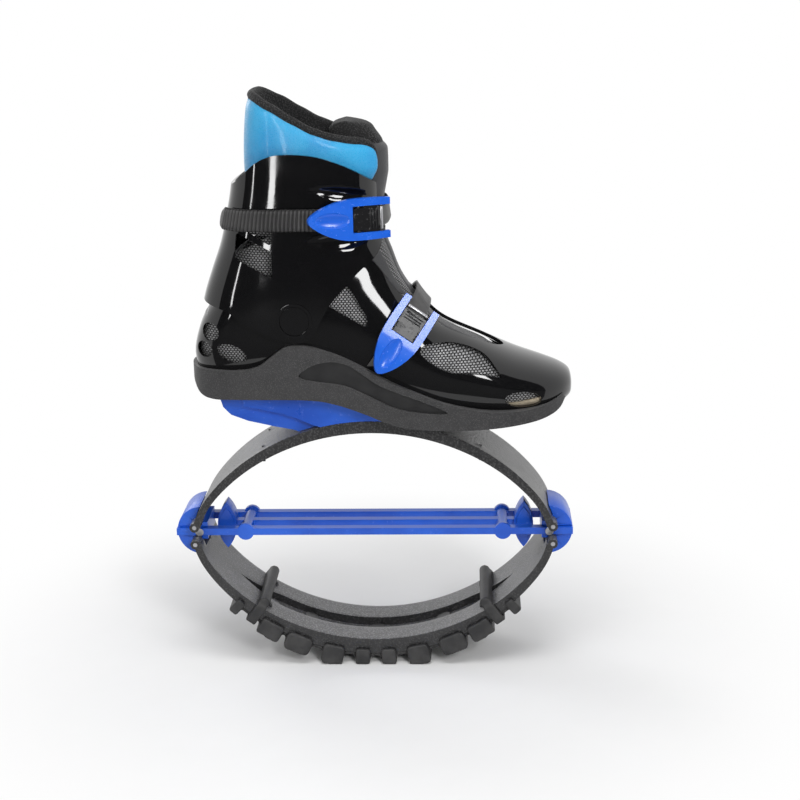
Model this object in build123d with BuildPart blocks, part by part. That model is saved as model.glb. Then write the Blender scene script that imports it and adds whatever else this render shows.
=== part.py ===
from build123d import *
import math
import os

# A rebound boot: a moulded boot on two half-ellipse spring bows, tied at their ends by a
# tension spring. Millimetres. +Z is up, +X is the toe, and -Y is the outer side, where the
# buckles are. The origin lies on the floor under the middle of the bows.

os.makedirs("parts", exist_ok=True)

# Bows
bow_width = 66.0
bow_half_span = 143.5          # outer face, at the knuckle height
bow_end_thickness = 6.0
hinge_height = 110.0           # the tension spring's mid plane
knuckle_offset = 7.2           # knuckle pins above and below it
lower_rise = 94.2              # lower knuckle to the underside at the middle
lower_mid_thickness = 12.4
upper_rise = 87.8
upper_mid_thickness = 9.4
bow_fullness_share = 0.7       # exponent of the bow's curve: 0.5 would be an ellipse
bow_steps = 12
rail_width = 23.5
channel_depth_share = 0.56
channel_half_length = 112.0
channel_point_length = 34.0
peg_radius = 1.3
peg_height = 3.2
peg_station = 85.5
peg_inset = 11.0

# Knuckles and their pins
knuckle_radius = 3.8
knuckle_inset = 1.2
knuckle_notch = 13.0
knuckle_pin_radius = 1.7
running_clearance = 0.3
pin_clearance = 0.08

# Tread
tread_gap = 0.25
tread_thickness = 3.2
tread_edge = 1.0
tread_half_length = 113.0
lug_wrap = 4.6                 # how far a lug climbs the bow's side
lug_side_thickness = 3.4
lug_round_share = 0.2
lug_stations = (10.4, 34.0, 61.5, 80.5, 88.8, 109.5)
lug_lengths = (12.0, 18.0, 22.0, 13.0, 7.0, 8.0)
lug_depths = (6.5, 9.6, 8.0, 7.0, 6.4, 5.0)
loop_station = 97.5
loop_width = 8.6
loop_thickness = 3.0
loop_bar_radius = 4.4
tread_rivet_spacing = 57.0
tread_rivet_head_radius = 6.0
tread_rivet_head_height = 3.0
tread_rivet_stem_radius = 3.0

# Tension spring
spring_width = 45.0
spring_bar_width = 7.0
spring_bar_height = 5.6
spring_rod_station = 103.0
spring_rod_radius = 4.6
spring_knob_radius = 6.8
spring_knob_thickness = 4.0
spring_hook_width = 8.6
spring_end_reach = 158.6
lens_station = 120.0
lens_height = 39.0
lens_length = 15.4
lens_thickness = 17.0
lens_rim = 1.8
lens_rim_step = 1.4
spring_pin_station = 140.0
spring_pin_radius = 2.2
spring_pin_head_radius = 3.3
spring_pin_head_height = 0.8

# Hinge blocks
block_width = 30.0
block_cover_width = 38.0
block_centre = 138.2
block_radius = 20.2
block_web_start = 134.0
block_lug_radius = 4.0
block_skin_clearance = 0.5

# Boot
boot_length = 298.0
boot_height = 253.0            # from the sole's bottom at the ball to the collar's top
boot_width = 70.0              # half of the space that side-view cuts reach across
sole_heel_end = -140.0
sole_ball_height = 203.0
shell_wall = 2.8
seat_gap = 0.25
liner_gap = 2.2
liner_thickness = 5.5
quarter_steps = 4
toe_start_share = 0.75         # where a nested form starts to draw back from the toe
front_roundness_share = 2.2    # exponent of a section's front half
back_roundness_share = 2.9     # and of its flatter sole or heel half
cuff_roundness_share = 2.8
heel_roundness_share = 3.6     # the cuff's rear half
quarter_tangents = (((0, 1), (-1, 0)), ((-1, 0), (0, -1)), ((0, -1), (1, 0)), ((1, 0), (0, 1)))

# Each cross-section of the boot's outer form: the front or top point, the back or bottom
# point, the half width on the outer side and on the inner side, and the middle's sideways
# place. Points are shares of the boot's length from the heel and of its height from the
# ball; widths are shares of the length.
section_shares = (
    (0.9985, 0.104, 0.9985, 0.074, 0.030, 0.030, 0.030),
    (0.992, 0.128, 0.992, 0.058, 0.066, 0.060, 0.027),
    (0.966, 0.150, 0.966, 0.042, 0.104, 0.090, 0.020),
    (0.920, 0.173, 0.920, 0.028, 0.134, 0.114, 0.012),
    (0.846, 0.205, 0.846, 0.020, 0.156, 0.136, 0.006),
    (0.758, 0.252, 0.758, 0.017, 0.166, 0.151, 0.0),
    (0.664, 0.304, 0.664, 0.016, 0.166, 0.157, 0.0),
    (0.614, 0.360, 0.590, 0.022, 0.161, 0.155, 0.0),
    (0.582, 0.415, 0.500, 0.052, 0.154, 0.150, 0.0),
    (0.557, 0.470, 0.370, 0.105, 0.150, 0.148, 0.0),
    (0.540, 0.530, 0.200, 0.112, 0.149, 0.148, 0.0),
    (0.526, 0.577, 0.052, 0.116, 0.148, 0.148, 0.0),
    (0.516, 0.628, 0.010, 0.198, 0.149, 0.149, 0.0),
    (0.512, 0.680, 0.026, 0.300, 0.150, 0.149, 0.0),
    (0.512, 0.724, 0.070, 0.405, 0.150, 0.146, 0.0),
    (0.512, 0.771, 0.108, 0.510, 0.149, 0.146, 0.0),
    (0.512, 0.826, 0.131, 0.628, 0.148, 0.146, 0.0),
    (0.510, 0.874, 0.144, 0.751, 0.148, 0.147, 0.0),
    (0.497, 1.010, 0.160, 1.015, 0.149, 0.148, 0.0),
    (0.490, 1.120, 0.165, 1.130, 0.149, 0.148, 0.0),
)
cuff_section_shares = (
    (0.705, 0.206, 0.023, 0.206, 0.164, 0.190, 0.0),
    (0.654, 0.324, 0.032, 0.324, 0.169, 0.168, 0.0),
    (0.611, 0.403, 0.046, 0.403, 0.169, 0.168, 0.0),
    (0.570, 0.482, 0.069, 0.482, 0.167, 0.163, 0.0),
    (0.527, 0.561, 0.094, 0.561, 0.165, 0.161, 0.0),
    (0.512, 0.640, 0.111, 0.640, 0.162, 0.159, 0.0),
    (0.510, 0.719, 0.125, 0.719, 0.160, 0.158, 0.0),
    (0.510, 0.798, 0.134, 0.798, 0.159, 0.156, 0.0),
    (0.510, 0.877, 0.141, 0.877, 0.158, 0.155, 0.0),
)

# Side-view outlines of the sole, the cuff and the shell's edges and windows
sole_top_shares = (
    (-0.020, 0.178), (0.067, 0.180), (0.141, 0.182), (0.188, 0.196), (0.225, 0.229), (0.262, 0.259),
    (0.309, 0.264), (0.366, 0.245), (0.416, 0.221), (0.463, 0.192), (0.534, 0.146), (0.597, 0.115),
    (0.664, 0.085), (0.728, 0.066), (0.795, 0.055), (0.872, 0.055), (0.940, 0.070), (1.007, 0.112),
)
sole_bottom_shares = (
    (1.007, 0.091), (0.980, 0.067), (0.966, 0.045), (0.943, 0.030), (0.893, 0.016), (0.795, 0.004),
    (0.695, 0.000), (0.604, 0.002), (0.534, 0.015), (0.463, 0.049), (0.389, 0.079), (0.312, 0.094),
    (0.144, 0.093), (0.067, 0.089), (0.030, 0.097), (0.007, 0.123), (-0.007, 0.154),
)
sole_plan_shares = (
    (-0.001, 0.0), (0.008, -0.054), (0.034, -0.101), (0.084, -0.134), (0.151, -0.150), (0.285, -0.160),
    (0.403, -0.163), (0.537, -0.169), (0.664, -0.175), (0.758, -0.174), (0.846, -0.161), (0.919, -0.131),
    (0.966, -0.087), (0.987, -0.034), (0.990, 0.020), (0.983, 0.066), (0.966, 0.098), (0.919, 0.128),
    (0.846, 0.147), (0.758, 0.161), (0.664, 0.167), (0.470, 0.159), (0.302, 0.154), (0.151, 0.143),
    (0.084, 0.126), (0.034, 0.094), (0.008, 0.050),
)
wing_edge_shares = (
    (1.2, 0.391), (0.671, 0.391), (0.617, 0.372), (0.560, 0.401), (0.534, 0.433), (0.505, 0.480),
    (0.477, 0.514), (0.419, 0.545), (0.336, 0.553), (0.275, 0.510), (0.225, 0.472), (0.134, 0.466), (-0.067, 0.466),
    (-0.067, -0.2), (1.2, -0.2),
)
cuff_edge_shares = (
    (0.027, 0.397), (0.070, 0.383), (0.121, 0.365), (0.161, 0.330), (0.215, 0.298), (0.262, 0.281),
    (0.295, 0.274), (0.319, 0.279), (0.336, 0.296), (0.349, 0.326), (0.377, 0.385), (0.407, 0.427),
    (0.433, 0.461), (0.463, 0.495), (0.492, 0.522), (0.507, 0.549), (0.513, 0.589), (0.517, 0.644),
    (0.515, 0.700), (0.505, 0.731), (0.483, 0.753), (0.447, 0.782), (0.407, 0.805), (0.360, 0.824),
    (0.313, 0.832), (0.266, 0.833), (0.234, 0.826), (0.202, 0.807), (0.169, 0.774), (0.138, 0.743),
    (0.107, 0.731), (0.0, 0.731), (-0.05, 0.397),
)
lower_louvre_shares = ((0.148, 0.607), (0.237, 0.552), (0.237, 0.471), (0.141, 0.530))
upper_louvre_shares = ((0.157, 0.636), (0.243, 0.636), (0.237, 0.568), (0.178, 0.607))
mid_window_shares = (
    (0.426, 0.439), (0.475, 0.338), (0.468, 0.314), (0.383, 0.374), (0.349, 0.399), (0.372, 0.462),
)
leaf_window_shares = (
    (0.606, 0.234), (0.614, 0.258), (0.644, 0.262), (0.684, 0.259), (0.730, 0.243), (0.768, 0.221),
    (0.794, 0.189), (0.810, 0.157), (0.778, 0.165), (0.729, 0.174), (0.681, 0.178), (0.638, 0.202),
)
wedge_keel_shares = (
    (0.527, 0.060), (0.074, 0.120), (0.074, 0.091), (0.084, 0.051), (0.104, 0.026), (0.148, 0.006),
    (0.215, -0.012), (0.268, -0.024), (0.322, -0.050), (0.527, -0.050),
)
wedge_flange_shares = (
    (0.527, 0.060), (0.139, 0.120), (0.139, 0.060), (0.242, 0.035), (0.290, 0.014), (0.322, -0.003),
    (0.400, -0.030), (0.527, -0.050),
)
collar_top_shares = (
    (0.000, 1.000), (0.121, 1.000), (0.185, 1.000), (0.238, 0.969), (0.295, 0.931), (0.342, 0.901),
    (0.393, 0.880), (0.440, 0.866), (0.483, 0.860), (0.508, 0.841), (0.530, 0.810), (0.534, 0.771),
    (0.534, 0.200), (0.000, 0.200),
)
tongue_slot_shares = (
    (0.470, -0.074), (0.604, -0.071), (0.738, -0.060), (0.795, -0.040), (0.819, 0.0), (0.795, 0.040),
    (0.738, 0.060), (0.604, 0.071), (0.470, 0.074),
)
tongue_plan_shares = (
    (0.435, -0.082), (0.604, -0.082), (0.738, -0.070), (0.790, -0.050), (0.812, 0.0), (0.790, 0.050),
    (0.738, 0.070), (0.604, 0.082), (0.435, 0.082),
)
tongue_side_shares = (
    (0.5240, 0.590), (0.5140, 0.606), (0.5140, 0.644), (0.5140, 0.684), (0.5200, 0.720),
    (0.5262, 0.759), (0.5262, 0.802), (0.5252, 0.830), (0.503, 0.866), (0.493, 0.877), (0.490, 0.913),
    (0.376, 0.917), (0.400, 0.800), (0.430, 0.588),
)
footbed_rise_share = 0.063
slot_floor = 245.0

# Bolts that hold the boot to the upper bow, through the wedge
bolt_stations = (-30.0, 4.0)
bolt_tops = (227.5, 216.0)
bolt_radius = 3.0
bolt_head_radius = 5.5
bolt_head_height = 2.6

# Ankle pivots and the vents in the shell
pivot_station = -54.0
pivot_height = 289.5
pivot_pad_radius = 13.5
pivot_pad_face = 51.2
pivot_pad_root = 47.5
rivet_radius = 4.0
rivet_head_radius = 11.0
rivet_head_face = 50.6
rivet_head_seat = 49.2
rivet_back_radius = 7.0
rivet_back_face = 39.7
rivet_back_seat = 40.9
heel_vents = ((-120.4, 278.2, 7.0, 7.0, 0.0), (-126.1, 264.0, 6.4, 6.4, 0.0), (-104.2, 262.3, 12.0, 6.8, -20.0))
toe_vent = (118.4, 224.5, 14.2, 6.5, -5.0)

# Where the cuff's soft parts and the foot's soft parts are divided, about the ankle pivot
shell_swing_radius = 70.0
shell_swing_height = 288.0
rear_swing_radius = 70.0
front_swing_radius = 92.0
foot_swing_height = 300.0
foot_swing_angle = 66.0
collar_swing_angle = 27.0
swing_gap = 0.5
collar_gap_width = 36.4
tongue_width = 35.0
tongue_inset = 3.6
tongue_depth = 7.7
liner_reach = 400.0

# Straps and buckles
strap_width = 16.6
strap_lift = 2.4
strap_thickness = 2.2
strap_height = 366.0           # the cuff strap's middle
strap_tail_end = -99.0
anchor_station = -40.0
anchor_end_radius = 8.3
instep_anchor_station = 17.0
instep_anchor_height = 262.0
instep_tail_height = 254.0
screw_head_radius = 4.6
screw_head_height = 1.8
screw_radius = 2.0
screw_length = 6.0
base_lift = 0.3
base_thickness = 1.4
base_wall = 1.0
base_wall_top = 4.9
base_length = 26.0
lever_length = 52.0
lever_width = 31.5
lever_tip_width = 21.0
lever_thickness = 4.0
lever_opening_width = 19.7
lever_opening_length = 25.5
lever_flat = 25.0
lever_drop = 6.0
lever_dish_length = 24.0
lever_dish_width = 9.0
lever_dish_depth = 1.0
lever_pin_setback = 2.5
lever_pin_height = 5.4
lever_pin_radius = 1.3
lever_pin_length = 29.0
lobe_radius = 2.3
release_start = 5.3
release_end = 24.9
release_width = 18.9
release_neck_width = 16.6
release_neck = 8.0
release_bottom = 5.2
release_thickness = 2.0
release_pin_setback = 21.0
release_pin_radius = 0.6
cuff_buckle_place = (13.0, -36.2, 366.3)
cuff_buckle_along = (0.914, 0.407, 0.0)
cuff_buckle_outward = (0.407, -0.914, 0.0)
instep_buckle_place = (39.2, -37.4, 295.1)
instep_buckle_along = (0.537, 0.373, 0.757)
instep_buckle_outward = (0.216, -0.927, 0.304)
wedge_keel_half_width = 27.0
cuff_gap_station = -5.0
cuff_gap_height = 330.0
cuff_gap_width = 48.0
collar_gap_station = -38.0
cuff_anchor_face = 52.5
instep_anchor_face = 49.3
buckle_reach = 14.0
lever_shoulder_share = 0.86
lever_dish_floor = 4.2
release_ribs = 3
release_rib_pitch = 2.2
release_rib_radius = 0.5
bolt_head_gap = 0.9
loop_clearance = 1.3


def boot_place(share_x, share_z):
    """A place on the boot's side view, in the XZ plane."""
    return (sole_heel_end + share_x * boot_length, sole_ball_height + share_z * boot_height)


def boot_section(shares, inset, front_roundness, back_roundness):
    """One closed cross-section of a boot form, drawn in by inset."""
    front_x, front_z, back_x, back_z, outer_side, inner_side, middle = shares
    toe_share = max(0, (back_x - toe_start_share) / (1 - toe_start_share))
    front_place = boot_place(front_x, front_z)
    back_place = boot_place(back_x, back_z)
    front = Vector(front_place[0], 0, front_place[1])
    back = Vector(back_place[0], 0, back_place[1])
    across = (front - back).normalized()
    half_depth = (front - back).length / 2 - inset
    middle_place = (front + back) * 0.5 - Vector(inset * toe_share, 0, 0)
    plane = Plane(middle_place, x_dir=across, z_dir=across.cross(Vector(0, 1, 0)))
    quarters = []
    for quarter in range(4):
        roundness = front_roundness if quarter in (0, 3) else back_roundness
        half_width = (inner_side if quarter < 2 else outer_side) * boot_length - inset
        points = []
        for step in range(quarter_steps + 1):
            angle = math.pi / 2 * step / quarter_steps
            major = math.cos(angle) ** (2 / roundness) if step < quarter_steps else 0
            minor = math.sin(angle) ** (2 / roundness) if step > 0 else 0
            along, aside = ((major, minor), (-minor, major), (-major, -minor), (minor, -major))[quarter]
            points.append((along * half_depth, aside * half_width + middle * boot_length))
        quarters.append(plane * Spline(*points, tangents=quarter_tangents[quarter]))
    return Wire(quarters)


def boot_form(first, last, inset):
    """The boot's outer form between two of its cross-sections, drawn in by inset."""
    sections = section_shares[first:last + 1]
    return Solid.make_loft([
        boot_section(shares, inset, front_roundness_share, back_roundness_share) for shares in sections
    ])


def cuff_form(inset):
    """The cuff's outer form, drawn in by inset."""
    return Solid.make_loft([
        boot_section(shares, inset, cuff_roundness_share, heel_roundness_share) for shares in cuff_section_shares
    ])


def cuff_band(low, high, inset):
    """The part of the cuff's outer form between two heights, drawn in by inset."""
    heights = [sole_ball_height + shares[1] * boot_height for shares in cuff_section_shares]
    sections = []
    for height in (low, high):
        below = max(index for index in range(len(heights) - 1) if heights[index] < height)
        part_way = (height - heights[below]) / (heights[below + 1] - heights[below])
        pair = zip(cuff_section_shares[below], cuff_section_shares[below + 1])
        shares = [start + (stop - start) * part_way for start, stop in pair]
        sections.append(boot_section(shares, inset, cuff_roundness_share, heel_roundness_share))
    return Solid.make_loft(sections, ruled=True)


def side_region(outline_shares):
    """A side-view outline, cut square across the boot."""
    with BuildPart() as region:
        with BuildSketch(Plane.XZ):
            with BuildLine():
                Polyline(*[boot_place(*share) for share in outline_shares], close=True)
            make_face()
        extrude(amount=boot_width, both=True)
    return region.part


def sole_region(drop):
    """The sole's side view, its bottom lowered by drop, cut square across the boot."""
    top = [boot_place(*share) for share in sole_top_shares]
    bottom = [boot_place(*share) for share in sole_bottom_shares]
    bottom = [(x, z - drop) for x, z in bottom]
    with BuildPart() as region:
        with BuildSketch(Plane.XZ):
            with BuildLine():
                Spline(*top)
                Line(top[-1], bottom[0])
                Spline(*bottom)
                Line(bottom[-1], top[0])
            make_face()
        extrude(amount=boot_width, both=True)
    return region.part


def bow_points(side, half_span, rise):
    """Points along one face of a bow: side is 1 for the upper bow and -1 for the lower."""
    points = []
    for step in range(bow_steps + 1):
        angle = math.pi * (step / bow_steps - 0.5)
        lift = rise * abs(math.cos(angle)) ** (2 * bow_fullness_share)
        points.append((half_span * math.sin(angle), hinge_height + side * (knuckle_offset + lift)))
    return points


def bow_height(side, station, half_span, rise):
    """The height of a bow's face at a station along it."""
    lift = rise * (1 - (station / half_span) ** 2) ** bow_fullness_share
    return hinge_height + side * (knuckle_offset + lift)


def bow_plane(station, half_span, rise):
    """A plane on the lower bow's face: x runs along the bow, y across it, z into the ellipse."""
    share = station / half_span
    slope = rise * bow_fullness_share * (1 - share ** 2) ** (bow_fullness_share - 1) * 2 * share / half_span
    along = Vector(1, 0, slope).normalized()
    origin = (station, 0, bow_height(-1, station, half_span, rise))
    return Plane(origin, x_dir=along, z_dir=along.cross(Vector(0, 1, 0)))


def bow_region(side, outset, rise):
    """Everything inside a bow's outer face moved out by outset, wider than the bow by outset."""
    points = bow_points(side, bow_half_span + outset, rise + outset)
    with BuildPart() as region:
        with BuildSketch(Plane.XZ):
            with BuildLine():
                Spline(*points)
                Line(points[-1], points[0])
            make_face()
        extrude(amount=bow_width / 2 + outset, both=True)
    return region.part


def buckle_plane(place, along, outward):
    """A buckle's own plane at its lever pin: x from the lever's tip to its fork, z outward."""
    return Plane(place, x_dir=along, z_dir=outward)


lower_inner_span = bow_half_span - bow_end_thickness
knuckle_station = bow_half_span - knuckle_inset
spring_inner_face = spring_width / 2 - spring_bar_width
notch_half_width = block_cover_width / 2 + running_clearance

# Bows: a half ellipse of tapering thickness, with a pointed channel between two rails,
# knuckle barrels at both ends and a peg beside each place where a tread loop can sit
for name, side, rise, mid_thickness in (
    ("lower_bow", -1, lower_rise, lower_mid_thickness),
    ("upper_bow", 1, upper_rise, upper_mid_thickness),
):
    inner_rise = rise - mid_thickness
    floor_span = lower_inner_span + bow_end_thickness * channel_depth_share
    floor_rise = inner_rise + mid_thickness * channel_depth_share
    outer_face = bow_points(side, bow_half_span, rise)
    inner_face = bow_points(side, lower_inner_span, inner_rise)
    channel_floor = bow_points(side, floor_span, floor_rise)

    with BuildPart() as channel:
        with BuildSketch(Plane.XZ):
            with BuildLine():
                Spline(*channel_floor)
                Line(channel_floor[-1], channel_floor[0])
            make_face()
        extrude(amount=bow_width / 2, both=True)
        with BuildSketch(Plane.XY):
            with BuildLine():
                shoulder = channel_half_length - channel_point_length
                half_channel = bow_width / 2 - rail_width
                Polyline(
                    (-channel_half_length, 0), (-shoulder, half_channel), (shoulder, half_channel),
                    (channel_half_length, 0), (shoulder, -half_channel), (-shoulder, -half_channel),
                    close=True,
                )
            make_face()
        extrude(amount=boot_height, both=True, mode=Mode.INTERSECT)

    with BuildPart() as bow:
        with BuildSketch(Plane.XZ):
            with BuildLine():
                Spline(*outer_face)
                Line(outer_face[-1], inner_face[-1])
                Spline(*inner_face)
                Line(inner_face[0], outer_face[0])
            make_face()
            with Locations(*[(end * knuckle_station, outer_face[0][1]) for end in (-1, 1)]):
                Circle(knuckle_radius)
        extrude(amount=bow_width / 2, both=True)
        add(channel.part, mode=Mode.SUBTRACT)
        with Locations(*[(end * knuckle_station, 0, outer_face[0][1]) for end in (-1, 1)]):
            Box(knuckle_notch, 2 * notch_half_width, knuckle_notch, mode=Mode.SUBTRACT)
            Cylinder(
                knuckle_pin_radius + pin_clearance, bow_width,
                rotation=(90, 0, 0), mode=Mode.SUBTRACT,
            )
        peg_foot = bow_height(side, peg_station, lower_inner_span, inner_rise) + side * peg_height
        pegs = [
            (end * peg_station, across * (bow_width / 2 - peg_inset), peg_foot)
            for end in (-1, 1) for across in (-1, 1)
        ]
        with Locations(*pegs):
            Cylinder(peg_radius, 4 * peg_height)
        if side < 0:
            for station in (-tread_rivet_spacing, 0, tread_rivet_spacing):
                with Locations(bow_plane(station, bow_half_span, rise)):
                    Cylinder(tread_rivet_stem_radius + seat_gap, 4 * mid_thickness, mode=Mode.SUBTRACT)
        else:
            with Locations(*[(station, 0, outer_face[bow_steps // 2][1]) for station in bolt_stations]):
                Cylinder(bolt_radius + seat_gap, 4 * mid_thickness, mode=Mode.SUBTRACT)
    bow.part.label = name
    export_step(bow.part, "parts/" + name + ".step")

# Tread: a rubber strip under the lower bow with lugs that climb its sides
strip_depth = tread_gap + tread_thickness
with BuildPart() as tread:
    with BuildSketch(Plane.XZ):
        strip = bow_points(-1, bow_half_span + strip_depth, lower_rise + strip_depth)
        with BuildLine():
            Spline(*strip)
            Line(strip[-1], strip[0])
        make_face()
        with Locations((0, hinge_height)):
            Rectangle(2 * tread_half_length, 2 * hinge_height, mode=Mode.INTERSECT)
    extrude(amount=bow_width / 2 - tread_edge, both=True)
    for station, length, depth in zip(lug_stations, lug_lengths, lug_depths):
        for end in (-1, 1):
            foot = bow_plane(end * station, bow_half_span, lower_rise)
            lug_plane = Plane(foot.origin, x_dir=foot.x_dir, z_dir=(0, -1, 0))
            with BuildSketch(lug_plane):
                with Locations((0, (lug_wrap - strip_depth - depth) / 2)):
                    RectangleRounded(length, lug_wrap + strip_depth + depth, length * lug_round_share)
            extrude(amount=bow_width / 2 + tread_gap + lug_side_thickness, both=True)
    add(bow_region(-1, tread_gap, lower_rise), mode=Mode.SUBTRACT)
    with Locations((0, 0, -hinge_height / 2)):
        Box(4 * tread_half_length, 2 * bow_width, hinge_height, mode=Mode.SUBTRACT)
tread.part.label = "tread"
export_step(tread.part, "parts/tread.step")

# Tread loops: a rubber band round bow and tread, with a round bar across the bow's inner face
for name, end in (("tread_loop_rear", -1), ("tread_loop_front", 1)):
    station = end * loop_station
    foot = bow_plane(station, bow_half_span, lower_rise)
    inner = bow_plane(station, lower_inner_span, lower_rise - lower_mid_thickness)
    local_thickness = (inner.origin - foot.origin).dot(foot.z_dir)
    low = -strip_depth - running_clearance
    high = local_thickness + loop_clearance
    half = bow_width / 2 + running_clearance
    band_plane = Plane(foot.origin, x_dir=(0, 1, 0), z_dir=foot.x_dir)
    with BuildPart() as loop:
        with BuildSketch(band_plane):
            with Locations((0, (low + high) / 2)):
                RectangleRounded(
                    2 * (half + loop_thickness), high - low + 2 * loop_thickness, loop_thickness,
                )
                Rectangle(2 * half, high - low, mode=Mode.SUBTRACT)
        extrude(amount=loop_width / 2, both=True)
        bar_plane = Plane(foot.origin + foot.z_dir * (high + loop_bar_radius), x_dir=foot.x_dir, z_dir=(0, 1, 0))
        with BuildSketch(bar_plane):
            Circle(loop_bar_radius)
        extrude(amount=half + loop_thickness / 2, both=True)
    loop.part.label = name
    export_step(loop.part, "parts/" + name + ".step")

# Tread rivets: mushroom heads on the channel's floor, stems down to the tread
with BuildPart() as rivets:
    for station in (-tread_rivet_spacing, 0, tread_rivet_spacing):
        foot = bow_plane(station, bow_half_span, lower_rise)
        floor = bow_plane(
            station, lower_inner_span + bow_end_thickness * channel_depth_share,
            lower_rise - lower_mid_thickness * (1 - channel_depth_share),
        )
        floor_lift = (floor.origin - foot.origin).dot(foot.z_dir)
        with BuildSketch(foot):
            Circle(tread_rivet_stem_radius)
        extrude(amount=floor_lift + tread_rivet_head_height)
        with BuildSketch(foot.offset(floor_lift + seat_gap)):
            Circle(tread_rivet_head_radius)
        extrude(amount=tread_rivet_head_height)
rivets.part.label = "tread_rivets"
export_step(rivets.part, "parts/tread_rivets.step")

# Tension spring: three bars between two cross rods, arms that hook round the hinge blocks,
# and a lens-shaped bumper near each end
arm_middle = (spring_width - spring_bar_width) / 2
with BuildPart() as tension_spring:
    with Locations((0, -arm_middle, hinge_height), (0, arm_middle, hinge_height)):
        Box(2 * spring_end_reach - spring_hook_width, spring_bar_width, spring_bar_height)
    with Locations((0, 0, hinge_height)):
        Box(2 * lens_station, spring_bar_width, spring_bar_height)
    for end in (-1, 1):
        with Locations((end * (spring_end_reach - spring_hook_width / 2), 0, hinge_height)):
            Box(spring_hook_width, spring_width, spring_bar_height)
        with Locations((end * spring_rod_station, 0, hinge_height)):
            Cylinder(spring_rod_radius, spring_width, rotation=(90, 0, 0))
        knob_offset = (spring_width - spring_knob_thickness) / 2 + seat_gap
        with Locations(*[(end * spring_rod_station, side * knob_offset, hinge_height) for side in (-1, 1)]):
            Cylinder(spring_knob_radius, spring_knob_thickness, rotation=(90, 0, 0))
        for shrink, thickness in ((0, lens_thickness - 2 * lens_rim_step), (lens_rim, lens_thickness)):
            half_height = lens_height / 2 - shrink * lens_height / lens_length
            half_length = lens_length / 2 - shrink
            middle = end * lens_station
            with BuildSketch(Plane.XZ):
                with BuildLine():
                    ThreePointArc(
                        (middle, hinge_height - half_height), (middle + half_length, hinge_height),
                        (middle, hinge_height + half_height),
                    )
                    ThreePointArc(
                        (middle, hinge_height + half_height), (middle - half_length, hinge_height),
                        (middle, hinge_height - half_height),
                    )
                make_face()
            extrude(amount=thickness / 2, both=True)
        with Locations((end * spring_pin_station, 0, hinge_height)):
            Cylinder(
                spring_pin_radius + pin_clearance, 2 * spring_width,
                rotation=(90, 0, 0), mode=Mode.SUBTRACT,
            )
tension_spring.part.label = "tension_spring"
export_step(tension_spring.part, "parts/tension_spring.step")

# Hinge blocks: curved covers over both bows' ends, lugs round the knuckle pins, and a slot
# for the tension spring's hook
slot_start = spring_end_reach - spring_hook_width - running_clearance
slot_height = spring_bar_height + 2 * running_clearance
for name, end in (("rear_hinge_block", -1), ("front_hinge_block", 1)):
    with BuildPart() as block:
        with BuildSketch(Plane.XZ):
            with Locations((end * block_centre, hinge_height)):
                Circle(block_radius)
            for side, rise in ((1, upper_rise), (-1, lower_rise)):
                skin = bow_points(side, bow_half_span + block_skin_clearance, rise + block_skin_clearance)
                with BuildLine():
                    Spline(*skin)
                    Line(skin[-1], skin[0])
                make_face(mode=Mode.SUBTRACT)
            with Locations((end * (block_web_start - block_radius), hinge_height)):
                Rectangle(2 * block_radius, 3 * block_radius, mode=Mode.SUBTRACT)
            with Locations(*[(end * knuckle_station, hinge_height + side * knuckle_offset) for side in (-1, 1)]):
                Circle(block_lug_radius)
        extrude(amount=block_cover_width / 2, both=True)
        with Locations((end * (slot_start + block_radius), 0, hinge_height)):
            Box(2 * block_radius, 2 * block_cover_width, slot_height, mode=Mode.SUBTRACT)
        side_middle = (block_width + block_cover_width) / 2
        with Locations(*[(end * block_centre, across * side_middle, hinge_height) for across in (-1, 1)]):
            Box(4 * block_radius, block_cover_width, slot_height, mode=Mode.SUBTRACT)
        for side in (-1, 1):
            with Locations((end * knuckle_station, 0, hinge_height + side * knuckle_offset)):
                Cylinder(
                    knuckle_pin_radius + pin_clearance, 2 * bow_width,
                    rotation=(90, 0, 0), mode=Mode.SUBTRACT,
                )
        with Locations((end * spring_pin_station, 0, hinge_height)):
            Cylinder(
                spring_pin_radius + pin_clearance, 2 * bow_width,
                rotation=(90, 0, 0), mode=Mode.SUBTRACT,
            )
    block.part.label = name
    export_step(block.part, "parts/" + name + ".step")

# Pins: one through each knuckle, and one through each end of the tension spring
with BuildPart() as knuckle_pins:
    with Locations(*[
        (end * knuckle_station, 0, hinge_height + side * knuckle_offset)
        for end in (-1, 1) for side in (-1, 1)
    ]):
        Cylinder(knuckle_pin_radius, bow_width, rotation=(90, 0, 0))
knuckle_pins.part.label = "knuckle_pins"
export_step(knuckle_pins.part, "parts/knuckle_pins.step")

with BuildPart() as spring_pins:
    with Locations(*[(end * spring_pin_station, 0, hinge_height) for end in (-1, 1)]):
        Cylinder(spring_pin_radius, spring_width + 2 * seat_gap, rotation=(90, 0, 0))
    head_offset = (spring_width + spring_pin_head_height) / 2 + seat_gap
    with Locations(*[
        (end * spring_pin_station, across * head_offset, hinge_height) for end in (-1, 1) for across in (-1, 1)
    ]):
        Cylinder(spring_pin_head_radius, spring_pin_head_height, rotation=(90, 0, 0))
spring_pins.part.label = "spring_pins"
export_step(spring_pins.part, "parts/spring_pins.step")

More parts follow.
